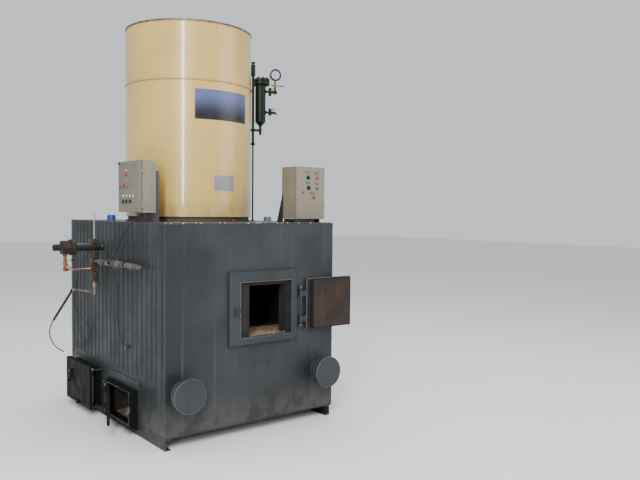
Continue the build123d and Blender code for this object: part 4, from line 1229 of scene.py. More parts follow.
@dataclass
class FurnaceBlock(Assembly):
    """The furnace block's worn edges, welds, round cleanouts and spare tappings."""

    foot_z: float = 0.084
    casing_top: float = 1.510
    edge_height: float = 0.010
    proud: float = 0.004
    corner_bead: float = 0.0022
    seam_bead: float = 0.0013
    back_seam: float = 0.8818
    seams_x: tuple[float, float] = (-0.145, 0.298)
    doorway_low: float = 0.642
    doorway_high: float = 1.177
    cleanout_x: float = 0.590
    cleanout_z: float = 0.375
    cap_face_y: float = -1.005
    cap_rim: float = 0.1166
    neck_ring: float = 0.081
    ribs: int = 10

    def top_edges(self) -> None:
        """Adds the worn edge of the top plate, with weld spatter along the front."""
        shaper = self.piece("top_plate_edges")
        low, high, proud = TOP_Z - self.edge_height, TOP_Z - 0.0004, self.proud
        for first, second in (
                ((LEFT_X - proud, FRONT_Y - proud, low), (RIGHT_X + proud, FRONT_Y, high)),
                ((LEFT_X - proud, FRONT_Y, low), (LEFT_X, -FRONT_Y, high)),
                ((RIGHT_X, FRONT_Y, low), (RIGHT_X + proud, -FRONT_Y, high))):
            shaper.block(first, second, "edge", 0.0012)
        dice = random.Random(11)
        spots = [(dice.uniform(LEFT_X, RIGHT_X), FRONT_Y - proud * 0.4,
                  TOP_Z - dice.uniform(0.001, 0.006)) for _ in range(26)]
        shaper.heads(spots, (0.0, -0.7, 0.7), 0.0042, 0.0045, "mortar", 7)
        shaper.make("boiler", "casing_paint")

    def wavy(self, start: Point, end: Point, count: int) -> list[Point]:
        """Points along a line with a small hand-welded waver.

        Args:
            start: The first point.
            end: The last point.
            count: How many steps.

        Returns:
            The points.
        """
        dice = random.Random(count)
        return [tuple(Vector(start).lerp(Vector(end), index / count)
                      + Vector([dice.uniform(-0.0006, 0.0006) for _ in range(3)]))
                for index in range(count + 1)]

    def welds(self) -> None:
        """Adds weld beads along the corners, the foot and the seams of the front."""
        shaper = self.piece("casing_welds")
        low, high, back = self.foot_z, self.casing_top, self.back_seam
        sides = (LEFT_X, RIGHT_X)
        beads = [((x, y, low), (x, y, high), 60, "bead_paint")
                 for x in sides for y in (FRONT_Y, back)]
        for x in self.seams_x:
            beads += [((x, FRONT_Y, self.doorway_high), (x, FRONT_Y, high), 24, "bead_paint"),
                      ((x, FRONT_Y, low), (x, FRONT_Y, self.doorway_low), 30, "bead_paint")]
        beads += [((x, FRONT_Y, low), (x, back, low), 80, "skid") for x in sides]
        beads.append(((LEFT_X, FRONT_Y, low), (RIGHT_X, FRONT_Y, low), 70, "skid"))
        for start, end, count, finish in beads:
            thin = count < 60
            shaper.tube(self.wavy(start, end, count),
                        self.seam_bead if thin else self.corner_bead, finish, 6 if thin else 7)
        shaper.make("boiler", "casing_paint")

    def cleanouts(self) -> None:
        """Adds the weld rings and rims of the two round cleanouts, and two plugs."""
        shaper = self.piece("cleanout_fittings")
        for x in (-self.cleanout_x, self.cleanout_x):
            for y, radius, thick, finish, steps, sides in (
                    (FRONT_Y, self.neck_ring, 0.004, "bead_paint", 40, 7),
                    (self.cap_face_y + 0.003, self.cap_rim, 0.0022, "rim", 56, 8),
                    (self.cap_face_y + 0.040, self.cap_rim, 0.0018, "bead_paint", 56, 8)):
                shaper.torus((x, y, self.cleanout_z), FRONT, radius, thick, finish, steps, sides)
        shaper.heads([(-0.012, FRONT_Y, 0.497), (0.108, FRONT_Y, 0.493)], FRONT, 0.006, 0.004,
                     "black")
        shaper.make("boiler", "frame_paint")

    def caps(self) -> None:
        """Makes the two ribbed caps on the top plate."""
        shaper = self.piece("tapping_cap_pair")
        for x, y, height, finish in ((-0.600, 0.300, 0.046, "blue"),
                                     (0.620, -0.120, 0.038, "cap_grey")):
            shaper.turn = None
            shaper.lathe((x, y, TOP_Z), UP,
                         [(0.0, 0.0335), (height * 0.12, 0.034), (height * 0.2, 0.0315),
                          (height * 0.86, 0.0305), (height, 0.0265), (height, 0.014),
                          (height * 0.9, 0.012)], finish)
            for index in range(self.ribs):
                shaper.turn = placed((x, y, 0), 360 * index / self.ribs)
                shaper.block((0.0292, -0.0032, TOP_Z + height * 0.16),
                             (0.0335, 0.0032, TOP_Z + height * 0.84), finish, 0.001)
        shaper.make("boiler", "cap_blue", "tapping_caps")

    def build(self) -> None:
        """Builds every piece of the block."""
        self.top_edges()
        self.welds()
        self.cleanouts()
        self.caps()


@dataclass
class FiringDoor(Assembly):
    """The firing doorway and its open door, drawn shut and then swung open."""

    pin_x: float = 0.386
    pin_y: float = -0.915
    open_angle: float = 178.0
    frame: Rect = Rect(-0.233, 0.358, 0.644, 1.175)
    opening: Rect = Rect(-0.145, 0.298, 0.700, 1.095)
    leaf: Rect = Rect(-0.097, 0.333, 0.708, 1.098)
    plug: Rect = Rect(-0.072, 0.288, 0.717, 1.085)
    face_y: float = -0.915
    plate_y: float = -0.920
    plug_y: float = -0.888
    strap_y: float = -0.938
    straps_z: tuple[float, float] = (0.792, 0.985)
    hearth_z: float = 0.7002

    def frame_fittings(self) -> None:
        """Adds mitre welds, the rim of the opening, its screws and the latch ring."""
        shaper = self.piece("doorway_fittings")
        y, inset, frame, opening = self.face_y, 0.012, self.frame, self.opening
        for x0, x1 in ((frame.left + inset, opening.left), (frame.right - inset, opening.right)):
            for z0, z1 in ((frame.low + inset, opening.low), (frame.high - inset, opening.high)):
                shaper.tube([(x0, y, z0), ((x0 + x1) / 2, y - 0.0002, (z0 + z1) / 2),
                             (x1, y, z1)], 0.0016, "bead_paint", 7)
        shaper.bars(opening.rim(0.005), y - 0.002, y + 0.004, "rim", 0.0014)
        screws = [(x, y, z) for x, z in (
            (-0.060, 1.132), (0.112, 1.132), (0.110, 0.672), (-0.060, 0.672), (-0.214, 1.153),
            (-0.214, 0.664), (0.338, 1.153), (0.338, 0.664))]
        shaper.heads(screws, FRONT, 0.0058, 0.0035, "frame")
        shaper.torus((-0.1745, -0.9315, 0.8705), (1, 0.35, 0), 0.0165, 0.0024, "steel", 24)
        shaper.lathe((-0.182, -0.923, 0.912), FRONT, stud(0.0042, 0.006, 0.004, 0.003), "frame",
                     14)
        shaper.make("boiler", "frame_paint")

    def door_fittings(self) -> None:
        """Adds the black rope gasket, whose groove is painted as shade, black strips of painted
        shade on the plug's edge, the light rim and the strap bolts to the door.
        """
        shaper = self.piece("door_fittings", swung(self.pin_x, self.pin_y, self.open_angle))
        y, leaf, plug, wide, over = self.plate_y, self.leaf, self.plug, 0.009, 0.0006
        side_low, side_high = leaf.low + 0.002, leaf.high - 0.008
        # Black bars in the rope gasket's groove between the leaf's edge and the plug: painted
        # shade.
        shaper.bars([Rect(plug.right + 0.001, leaf.right - 0.010, side_low, side_high),
                     Rect(leaf.left + 0.003, plug.left - 0.001, side_low, side_high),
                     Rect(plug.left, plug.right, leaf.low + 0.001, plug.low - 0.001),
                     Rect(plug.left, plug.right, plug.high + 0.0005, plug.high + 0.0055)],
                    y, y + 0.0024, "seal_and_painted_shade", 0.0018)
        shaper.bars([Rect(leaf.right - 0.008, leaf.right, leaf.low, leaf.high),
                     Rect(leaf.left, leaf.right, leaf.high - 0.006, leaf.high)],
                    y, y + 0.002, "rim", 0.0008)
        # Black strips on the plug's edge: painted shade for its shadowed side faces.
        shaper.bars([Rect(plug.left - over, plug.left + wide, plug.low, plug.high),
                     Rect(plug.right - wide, plug.right + over, plug.low, plug.high),
                     Rect(plug.left, plug.right, plug.low - over, plug.low + wide),
                     Rect(plug.left, plug.right, plug.high - wide * 0.6, plug.high + over)],
                    y + 0.0005, self.plug_y + 0.0012, "seal_and_painted_shade", 0.001)
        shaper.heads([(x, self.strap_y, z) for x in (0.170, 0.225, 0.290)
                      for z in self.straps_z], FRONT, 0.008, 0.006, "steel")
        for z in self.straps_z:
            for offset in (-0.0215, 0.0215):
                shaper.torus((self.pin_x, self.pin_y, z + offset), UP, 0.0148, 0.0012, "rim", 24,
                             6)
        shaper.make("firing_door", "frame_paint")

    def hinge_fittings(self) -> None:
        """Adds the pin's heads and the bolts of its two lugs."""
        shaper = self.piece("hinge_fittings")
        for z, way in ((1.039, UP), (0.743, DOWN)):
            shaper.lathe((self.pin_x, self.pin_y, z), way, stud(0.006, 0.0115, 0.009, 0.004),
                         "steel", 20)
        shaper.heads([(0.372, -0.9292, 0.751), (0.372, -0.9292, 1.031)], FRONT, 0.005, 0.004,
                     "steel")
        shaper.make("boiler", "bare_steel")

    def ash_bed(self) -> None:
        """Lays a thin crust of ash and clinker on the hearth behind the sill."""
        x0, x1, y0, y1 = -0.050, 0.268, -0.878, -0.560
        shaper = self.piece("hearth_ash")
        shaper.take(crust((x0, y0), (x1, y1), self.hearth_z, 0.011, 44, 36), "ash")
        dice = random.Random(5)
        spots = [(dice.uniform(x0, x1), dice.uniform(y0, y1), 0.7015) for _ in range(60)]
        shaper.heads(spots, UP, 0.0055, 0.011, "ash", 5)
        shaper.make("boiler", "refractory")

    def build(self) -> None:
        """Builds every piece of the doorway and the door."""
        self.frame_fittings()
        self.door_fittings()
        self.hinge_fittings()
        self.ash_bed()


@dataclass
class AshDoors(Assembly):
    """The two ash doorways in the left wall and their doors, by Y and Z."""

    face_x: float = -0.775
    near: Rect = Rect(-0.430, -0.045, 0.084, 0.308)
    near_pin: tuple[float, float] = (-0.787, -0.036)
    near_angle: float = -21.3
    near_outer_x: float = -0.778
    far: Rect = Rect(0.200, 0.728, 0.046, 0.382)
    far_pin: tuple[float, float] = (-0.799, 0.186)
    far_outer_x: float = -0.818
    plate_x: float = -0.721

    def frame_fittings(self) -> None:
        """Adds the near frame's worn rim, its keeper and bolts, and the hinge nuts."""
        shaper = self.piece("ash_frame_fittings")
        x = self.face_x
        shaper.bars(self.near.rim(0.006), x - 0.0015, x + 0.003, "worn_rim", 0.0012, True)
        shaper.block((x - 0.018, -0.462, 0.170), (x, -0.440, 0.214), "steel", 0.003)
        shaper.block((x - 0.024, -0.462, 0.170), (x - 0.016, -0.428, 0.182), "steel", 0.002)
        shaper.heads([(x, -0.446, 0.308), (x, 0.012, 0.308), (x, 0.012, 0.070),
                      (x, -0.446, 0.070), (x, -0.238, 0.318)], LEFT, 0.0062, 0.005, "steel")
        shaper.heads([(*self.far_pin, 0.366), (*self.near_pin, 0.293)], UP, 0.0095, 0.008,
                     "steel")
        shaper.heads([(self.plate_x, y, z) for y in (-0.486, 0.094, 0.158)
                      for z in (0.076, 0.220, 0.366)], LEFT, 0.007, 0.005, "frame")
        shaper.make("boiler", "frame_paint")

    def near_fittings(self) -> None:
        """Adds the near door's pull and rivets."""
        shaper = self.piece("near_door_fittings", swung(*self.near_pin, self.near_angle))
        x = self.near_outer_x
        shaper.tube([(x - out, -0.380, z) for out, z in (
            (0.0, 0.165), (0.018, 0.166), (0.026, 0.174), (0.026, 0.226), (0.018, 0.234),
            (0.0, 0.235))], 0.0045, "ash_iron", 10)
        shaper.heads([(x, y, z) for y in (-0.402, -0.074) for z in (0.112, 0.196, 0.280)], LEFT,
                     0.005, 0.003, "ash_iron", 8)
        shaper.make("near_ash_door", "frame_paint")

    def far_fittings(self) -> None:
        """Adds the far door's pressed edge, latch nose, lever pin and rivets."""
        shaper = self.piece("far_door_fittings")
        x, edge, far = self.far_outer_x, 0.012, self.far
        left, right, low, high = far.left + edge, far.right - edge, far.low + edge, far.high - edge
        line = [(x, left, low), (x, right, low), (x, right, high), (x, left, high)]
        for first, second in zip(line, line[1:] + line[:1]):
            shaper.tube([first, second], 0.0018, "ash_edge", 7)
        shaper.block((x - 0.012, 0.440, far.low), (x, 0.470, far.low + 0.030), "ash_iron", 0.002)
        shaper.lathe((-0.836, 0.598, 0.290), LEFT, stud(0.007, 0.0085, 0.006, 0.005), "steel", 18)
        shaper.heads([(x, y, z) for y in (0.232, 0.690) for z in (0.084, 0.214, 0.346)], LEFT,
                     0.0055, 0.0035, "ash_edge", 8)
        shaper.make("far_ash_door", "frame_paint")

    def ash_heap(self) -> None:
        """Lays the tan ash that is left behind the near opening."""
        shaper = self.piece("ash_heap")
        start, end = self.near.left + 0.004, self.near.right - 0.004
        shaper.take(crust((-0.712, start), (-0.330, end), self.near.low + 0.0003, 0.060, 40, 30),
                    "ash")
        dice = random.Random(3)
        spots = [(dice.uniform(-0.700, -0.40), dice.uniform(start, end), self.near.low + 0.012)
                 for _ in range(50)]
        shaper.heads(spots, UP, 0.005, 0.012, "ash", 5)
        shaper.make("boiler", "refractory")

    def build(self) -> None:
        """Builds every piece of the ash doors."""
        self.ash_heap()
        self.frame_fittings()
        self.near_fittings()
        self.far_fittings()


@dataclass
class Drum(Assembly):
    """The heat exchanger drum's seams, rivets, flue collar and foot."""

    seam: float = 2.582
    foot: float = 1.556
    jacket_top: float = 3.013
    plates_bearing: float = -86.0
    lower_laps: tuple[float, float] = (20.0, 148.0)
    upper_laps: tuple[float, float] = (84.0, 212.0)
    lap_proud: float = 0.0025
    clamps: int = 12

    def at(self, bearing: float, radius: float, z: float) -> Point:
        """A point round the drum.

        Args:
            bearing: Angle from the X axis, in degrees.
            radius: Distance from the drum's axis.
            z: Height.

        Returns:
            The point.
        """
        angle = math.radians(bearing)
        return (DRUM_X + radius * math.cos(angle), DRUM_Y + radius * math.sin(angle), z)

    def rivets(self) -> None:
        """Adds the rivets of both plates and of the jacket's lap seams."""
        shaper = self.piece("drum_rivets")
        spots = [(self.plates_bearing + side * half, radius, z, 0.0032, 0.0018, "plate_rivet")
                 for half, low, high, radius in ((26.2, 2.301, 2.505, 0.5035),
                                                 (9.1, 1.768, 1.864, 0.5025))
                 for side in (-1, 1) for z in (low, high)]
        laps = [(bearing, self.foot + 0.04 + index * 0.0775)
                for bearing in self.lower_laps for index in range(13)]
        laps += [(bearing, self.seam + 0.06 + index * 0.08)
                 for bearing in self.upper_laps for index in range(5)]
        spots += [(bearing, DRUM_RADIUS + self.lap_proud, z, 0.004, 0.0025, "enamel")
                  for bearing, z in laps]
        for bearing, radius, z, size, height, finish in spots:
            angle = math.radians(bearing)
            shaper.lathe(self.at(bearing, radius, z), (math.cos(angle), math.sin(angle), 0),
                         [(0, size), (height * 0.5, size * 0.85), (height, size * 0.4)], finish,
                         10)
        shaper.make("boiler", "drum_cream")

    def laps(self) -> None:
        """Adds the lap strips of the jacket and the rolled beads at its ends."""
        shaper = self.piece("jacket_laps")
        inner, outer = DRUM_RADIUS - 0.001, DRUM_RADIUS + self.lap_proud
        for bearings, low, high in (
                (self.lower_laps, self.foot + 0.004, self.seam - 0.004),
                (self.upper_laps, self.seam + 0.018, self.jacket_top - 0.004)):
            for bearing in bearings:
                steps = [bearing + step * 0.6 for step in range(-2, 3)]
                shaper.slab([self.at(step, inner, low) for step in steps]
                            + [self.at(step, outer, low) for step in reversed(steps)],
                            (0, 0, high - low), "enamel")
        for z, radius, thick in ((self.foot + 0.004, DRUM_RADIUS + 0.0005, 0.0035),
                                 (self.seam + 0.001, DRUM_RADIUS + 0.0058, 0.0022),
                                 (self.jacket_top - 0.006, DRUM_RADIUS + 0.0005, 0.0032)):
            shaper.torus((DRUM_X, DRUM_Y, z), UP, radius, thick, "enamel", 160)
        shaper.make("boiler", "drum_cream")

    def collar(self) -> None:
        """Adds the bolts of the flue collar's flange and its rolled lip."""
        shaper = self.piece("collar_fittings")
        shaper.heads(ring((DRUM_X, DRUM_Y, 3.033), UP, 0.141, 12, 15), UP, 0.0065, 0.006,
                     "steel")
        shaper.torus((DRUM_X, DRUM_Y, 3.116), UP, 0.1295, 0.0032, "pan", 72)
        shaper.make("boiler", "drum_trim")

    def foot_ring(self) -> None:
        """Adds the clamps that hold the drum down round its foot."""
        shaper = self.piece("foot_clamps")
        for index in range(self.clamps):
            shaper.turn = placed((DRUM_X, DRUM_Y, 0), 15 + index * 360 / self.clamps)
            shaper.block((0.476, -0.016, TOP_Z), (0.505, 0.016, 1.528), "drum_trim", 0.0015)
            shaper.heads([(0.4945, 0.0, 1.528)], UP, 0.0075, 0.007, "steel")
        shaper.make("boiler", "drum_trim")

    def build(self) -> None:
        """Builds the drum's small parts."""
        self.rivets()
        self.laps()
        self.collar()
        self.foot_ring()


class Control(Enum):
    """The kinds of control on a cabinet door."""

    LAMP = "lamp"
    KNOB = "knob"
    OVAL = "oval knob"
    SWITCH = "rocker switch"
    RING = "small ring"
    LOCK = "lock"


@dataclass
class Cabinets(Assembly):
    """Both control cabinets with their lamps, knobs and bare label plates."""

    left_face_x: float = -0.715
    right_face_y: float = -0.800
    gland_x: float = -0.665

    def control(self, shaper: Shaper, kind: Control, turn: Matrix) -> None:
        """Adds one control, built facing the front at the origin and then placed.

        Args:
            shaper: The piece it joins.
            kind: What it is.
            turn: Where it goes and the way it faces.
        """
        shaper.turn = turn
        origin = (0, 0, 0)
        if kind is Control.LAMP:
            shaper.lathe(origin, FRONT, stud(0.006, 0.0145, 0.0125, 0.004), "steel", 28)
            shaper.lathe((0, -0.006, 0), FRONT, [(0, 0.0118), (0.004, 0.0115), (0.0075, 0.009),
                                                 (0.0095, 0.005), (0.0102, 0)], "red", 28)
        elif kind in (Control.KNOB, Control.OVAL):
            shaper.lathe(origin, FRONT, [(0, 0.0155), (0.004, 0.0155), (0.005, 0.0135),
                                         (0.012, 0.013), (0.014, 0.0115)], "black", 28)
            bar = 0.014 if kind is Control.OVAL else 0.010
            shaper.block((-0.004, -0.022, -bar), (0.004, -0.013, bar), "black", 0.0016)
            shaper.block((-0.0008, -0.0225, bar - 0.008), (0.0008, -0.0218, bar - 0.001),
                         "white")
        elif kind is Control.SWITCH:
            shaper.block((-0.016, -0.005, -0.013), (0.016, 0, 0.013), "black", 0.0014)
            shaper.slab([(-0.010, y, z) for y, z in (
                (-0.0045, -0.010), (-0.0105, -0.008), (-0.0065, 0.000), (-0.0075, 0.010),
                (-0.0045, 0.010))], (0.020, 0, 0), "black")
        elif kind is Control.RING:
            shaper.torus((0, -0.003, 0), FRONT, 0.0095, 0.0022, "black", 28)
            shaper.lathe(origin, FRONT, [(0, 0.0075), (0.003, 0.0072)], "cabinet", 24)
        else:
            shaper.lathe(origin, FRONT, stud(0.005, 0.0105, 0.0088, 0.0035), "steel", 24)
            shaper.block((-0.0012, -0.0056, -0.005), (0.0012, -0.0046, 0.005), "black")

    def label(self, shaper: Shaper, width: float, height: float, finish: str,
              turn: Matrix) -> None:
        """Adds a bare label plate with two pins.

        Args:
            shaper: The piece it joins.
            width: Its width.
            height: Its height.
            finish: Its finish.
            turn: Where it goes and the way it faces.
        """
        shaper.turn = turn
        shaper.block((-width / 2, -0.0018, -height / 2), (width / 2, 0, height / 2), finish,
                     0.0006)
        for x in (0.003 - width / 2, width / 2 - 0.003):
            shaper.lathe((x, -0.0017, 0), FRONT, [(0, 0.0012), (0.0006, 0.0009)], "steel", 8)

    def left_door(self) -> None:
        """Makes the left door's controls and labels."""
        def at(y: float, z: float) -> Matrix:
            """A place on the door's face."""
            return placed((self.left_face_x, y, z), -90)
        shaper = self.piece("left_door_controls")
        for y, z in ((-0.264, 1.861), (-0.215, 1.779), (-0.287, 1.777)):
            self.control(shaper, Control.LAMP, at(y, z))
        for y in (-0.209, -0.268, -0.330):
            self.control(shaper, Control.SWITCH, at(y, 1.667))
        for y in (-0.211, -0.268, -0.330, -0.382):
            self.label(shaper, 0.020, 0.017, "white", at(y, 1.707))
        self.label(shaper, 0.022, 0.012, "white", at(-0.264, 1.893))
        shaper.make("left_cabinet_door", "controls", "left_cabinet_controls")
        trim = self.piece("left_door_trim")
        trim.block((-0.7185, -0.146, 1.934), (-0.7125, -0.124, 1.956), "black", 0.001)
        self.control(trim, Control.LOCK, at(-0.150, 1.772))
        trim.make("left_cabinet_door", "cabinet_paint")

    def right_door(self) -> None:
        """Makes the right door's controls and labels."""
        def at(x: float, z: float) -> Matrix:
            """A place on the door's face."""
            return placed((x, self.right_face_y, z), 0)
        shaper = self.piece("right_door_controls")
        for x, z, kind in ((0.534, 1.868, Control.KNOB), (0.622, 1.869, Control.LAMP),
                           (0.538, 1.789, Control.OVAL), (0.624, 1.785, Control.RING),
                           (0.590, 1.718, Control.LAMP), (0.483, 1.753, Control.LOCK)):
            self.control(shaper, kind, at(x, z))
        for x, z, width in ((0.531, 1.908, 0.040), (0.619, 1.904, 0.036), (0.532, 1.828, 0.040),
                            (0.622, 1.824, 0.036), (0.578, 1.748, 0.036)):
            self.label(shaper, width, 0.015, "black", at(x, z))
            shaper.turn = at(x, z + 0.0005)
            shaper.block((-width / 2 + 0.005, -0.0022, -0.001),
                         (width / 2 - 0.005, -0.0017, 0.001), "white")
        shaper.make("right_cabinet_door", "controls", "right_cabinet_controls")
        trim = self.piece("right_door_trim")
        trim.heads([(x, self.right_face_y, z) for x, z in (
            (0.681, 1.649), (0.436, 1.586), (0.684, 1.932))], FRONT, 0.0042, 0.002, "black", 10)
        trim.make("right_cabinet_door", "cabinet_paint")

    def bodies(self) -> None:
        """Adds the door seals, the glands' nuts, the bottom lips and the bracket's cap."""
        shaper = self.piece("cabinet_fittings")
        shaper.bars([Rect(-0.4862, -0.4765, 1.592, 1.953)], -0.6968, -0.6915, "cabinet_edge",
                    0.0006, True)
        shaper.bars([Rect(-0.1335, -0.130, 1.594, 1.951), Rect(-0.480, -0.130, 1.9475, 1.951),
                     Rect(-0.480, -0.130, 1.594, 1.5975)], -0.6965, -0.6915, "cabinet_edge",
                    0.0006, True)
        shaper.bars([Rect(0.4265, 0.430, 1.552, 1.946), Rect(0.690, 0.6935, 1.552, 1.946),
                     Rect(0.4265, 0.6935, 1.9425, 1.946), Rect(0.4265, 0.6935, 1.552, 1.5555)],
                    -0.7815, -0.7765, "cabinet_edge", 0.0006)
        used, spare = (-0.425,), (-0.375, -0.325)
        nut = [(0, 0.0138), (0.0035, 0.0138), (0.0045, 0.0115), (0.0085, 0.0105)]
        for places, z, outline, finish, steps in (
                (used + spare, 1.5905, nut, "rubber", 16),
                (used, 1.583, [(0, 0.0092), (0.008, 0.008), (0.014, 0.0062)], "rubber", 16),
                (spare, 1.5825, [(0, 0.0062), (0.003, 0.005)], "white", 14)):
            for y in places:
                shaper.lathe((self.gland_x, y, z), DOWN, outline, finish, steps)
        shaper.block((-0.6935, -0.4855, 1.588), (-0.5885, -0.1245, 1.5915), "lip", 0.0008)
        shaper.block((0.4215, -0.778, 1.546), (0.6985, -0.6095, 1.5495), "lip", 0.0008)
        shaper.slab([(-0.589, -0.452, 1.885), (-0.583, -0.452, 1.885), (-0.583, -0.452, 1.899),
                     (-0.589, -0.452, 1.888)], (0, 0.276, 0), "black_stand")
        shaper.heads([(-0.583, y, z) for y in (-0.435, -0.185) for z in (1.560, 1.720, 1.860)],
                     RIGHT, 0.005, 0.004, "steel")
        shaper.make("boiler", "cabinet_paint")

    def build(self) -> None:
        """Builds the cabinets' small parts."""
        self.left_door()
        self.right_door()
        self.bodies()


@dataclass
class LevelColumn(Assembly):
    """The water level column with its cocks and gauge, along one line out from the drum."""

    bearing: float = -15.0
    reach: float = 0.609
    standpipe_reach: float = 0.544
    gauge_reach: float = 0.740
    head: float = 2.675
    foot: float = 2.362
    cocks_z: tuple[float, float] = (2.622, 2.447)
    gauge_z: float = 2.767
    gauge_radius: float = 0.051
    first_tick: float = 225.0
    needle_angle: float = 128.0

    def line(self, x: float = 0.0, z: float = 0.0) -> Matrix:
        """The turn that lays X along the column's line, with its origin at a place on it."""
        return placed((DRUM_X, DRUM_Y, 0), self.bearing) @ Matrix.Translation((x, 0, z))

    def bolts(self) -> None:
        """Adds the flange pair's bolts and nuts, the weld rings and the drain's hexagon."""
        shaper = self.piece("column_bolts", self.line())
        spots = [(x, y) for x, y, _ in ring((self.reach, 0, 0), UP, 0.063, 10, 18)
                 if x > self.reach - 0.046]
        for z, way, size, height, finish, sides in (
                (self.head + 0.048, UP, 0.0085, 0.008, "green", 6),
                (self.head, DOWN, 0.0085, 0.008, "green", 6),
                (self.head + 0.056, UP, 0.0042, 0.006, "steel", 8)):
            shaper.heads([(x, y, z) for x, y in spots], way, size, height, finish, sides)
        for z in (self.head - 0.001, self.foot):
            shaper.torus((self.reach, 0, z), UP, 0.0445, 0.0024, "green", 36, 7)
        shaper.lathe((self.reach, 0, 2.290), UP, band(0.016, 0.0145, 0.0135, 0.003), "green", 6)
        shaper.make("boiler", "column_green")

    def valve(self) -> None:
        """Adds the standpipe's unions, its drum inlet boss and the top valve's wheel."""
        shaper = self.piece("standpipe_fittings", self.line())
        x, drum = self.standpipe_reach, DRUM_RADIUS - 0.002
        union = band(0.022, 0.0175, 0.016, 0.004)
        wheel = [(0, 0.010), (0.003, 0.018), (0.009, 0.0195), (0.013, 0.016), (0.016, 0.006)]
        for origin, way, outline, finish, steps in (
                ((x, 0, 2.162), UP, union, "green", 6), ((x, 0, 2.279), UP, union, "green", 6),
                ((drum, 0, 2.773), RIGHT, stud(0.010, 0.024, 0.017, 0.007), "green", 28),
                ((x, 0, 2.848), UP, wheel, "black", 24),
                ((x, 0, 1.5201), UP, stud(0.010, 0.015, 0.010, 0.006), "green", 24)):
            shaper.lathe(origin, way, outline, finish, steps)
        for z in (1.66, 2.02):
            shaper.block((drum, -0.009, z), (x + 0.008, 0.009, z + 0.004), "steel", 0.0012)
        shaper.make("boiler", "column_green")

    def cocks(self) -> None:
        """Adds the cocks' plugs, unions and levers."""
        shaper = self.piece("cock_fittings", self.line())
        body = self.reach + 0.086
        upper, lower = self.cocks_z
        knob = [(0, 0.008), (0.003, 0.0115), (0.010, 0.0125), (0.015, 0.010), (0.017, 0.004)]
        for z in (upper, lower):
            shaper.lathe((self.reach + 0.043, 0, z), RIGHT, stud(0.012, 0.015, 0.011, 0.010),
                         "green", 6)
            shaper.lathe((body, 0, z + 0.020), UP, knob, "black", 20)
            shaper.lathe((body + 0.017, 0, z), RIGHT, stud(0.011, 0.013, 0.0095, 0.009),
                         "brass_dark", 6)
        shaper.lathe((body, 0, upper - 0.020), DOWN, knob, "black", 20)
        shaper.tube([(body + x, 0, z) for x, z in (
            (0.008, 2.455), (0.026, 2.446), (0.052, 2.436), (0.064, 2.431))], 0.0042, "black",
                    10)
        shaper.lathe((self.gauge_reach, 0.012, upper), FRONT, band(0.024, 0.018, 0.0165, 0.004),
                     "brass_dark", 28)
        shaper.lathe((self.gauge_reach, 0, 2.668), UP, stud(0.024, 0.012, 0.0095, 0.022),
                     "brass", 6)
        shaper.make("boiler", "bare_steel")

    def gauge(self) -> None:
        """Makes the pressure gauge: case, dial with ticks and numbers, needle and stem."""
        here = self.line(self.gauge_reach, self.gauge_z)
        shaper = self.piece("pressure_gauge_detail", here)
        radius = self.gauge_radius
        shaper.lathe((0, 0.019, 0), FRONT, [
            (0, radius - 0.009), (0.003, radius - 0.005), (0.026, radius - 0.005),
            (0.027, radius - 0.001), (0.030, radius), (0.0355, radius), (0.038, radius - 0.005),
            (0.037, radius - 0.012), (0.033, radius - 0.014)], "black", 64)
        shaper.lathe((0, -0.0142, 0), FRONT, [(0, radius - 0.0145), (0.0008, radius - 0.0145)],
                     "dial", 64)
        for index in range(31):
            long = index % 5 == 0
            width, inner = (0.0007, radius - 0.0215) if long else (0.0004, radius - 0.0185)
            shaper.turn = here @ placed((0, 0, 0), index * 9 - self.first_tick, "Y")
            shaper.block((inner, -0.0154, -width), (radius - 0.0155, -0.0149, width), "ink")
        for index in range(7):
            angle = math.radians(self.first_tick - index * 45)
            self.numeral(shaper, str(index), here @ Matrix.Translation((
                (radius - 0.0262) * math.cos(angle), -0.0150,
                (radius - 0.0262) * math.sin(angle))))
        shaper.turn = here @ placed((0, 0, 0), -self.needle_angle, "Y")
        shaper.slab([(x, -0.0168, z) for x, z in (
            (-0.010, -0.0014), (0.029, -0.0003), (0.029, 0.0003), (-0.010, 0.0014))],
                    (0, 0.0008, 0), "ink")
        shaper.turn = here
        shaper.lathe((0, -0.0149, 0), FRONT, [(0, 0.0042), (0.003, 0.0036)], "ink", 20)
        shaper.lathe((0, 0, -radius - 0.014), UP, [(0, 0.0108), (0.011, 0.0108),
                                                   (0.013, 0.0085), (0.022, 0.0085)], "brass", 6)
        shaper.make("boiler", "gauge_face", "pressure_gauge")

    def numeral(self, shaper: Shaper, text: str, place: Matrix) -> None:
        """Adds one dial number.

        Args:
            shaper: The piece it joins.
            text: The number.
            place: Where it goes, facing the front.
        """
        data = bpy.data.curves.new("numeral", "FONT")
        data.body = text
        data.size = 0.0072
        data.align_x = data.align_y = "CENTER"
        data.extrude = 0.0002
        shaper.turn = place @ Matrix.Rotation(math.radians(90), 4, "X")
        shaper.mesh(baked(add_object("numeral", data)), "ink")

    def build(self) -> None:
        """Builds the column's small parts."""
        self.bolts()
        self.valve()
        self.cocks()
        self.gauge()


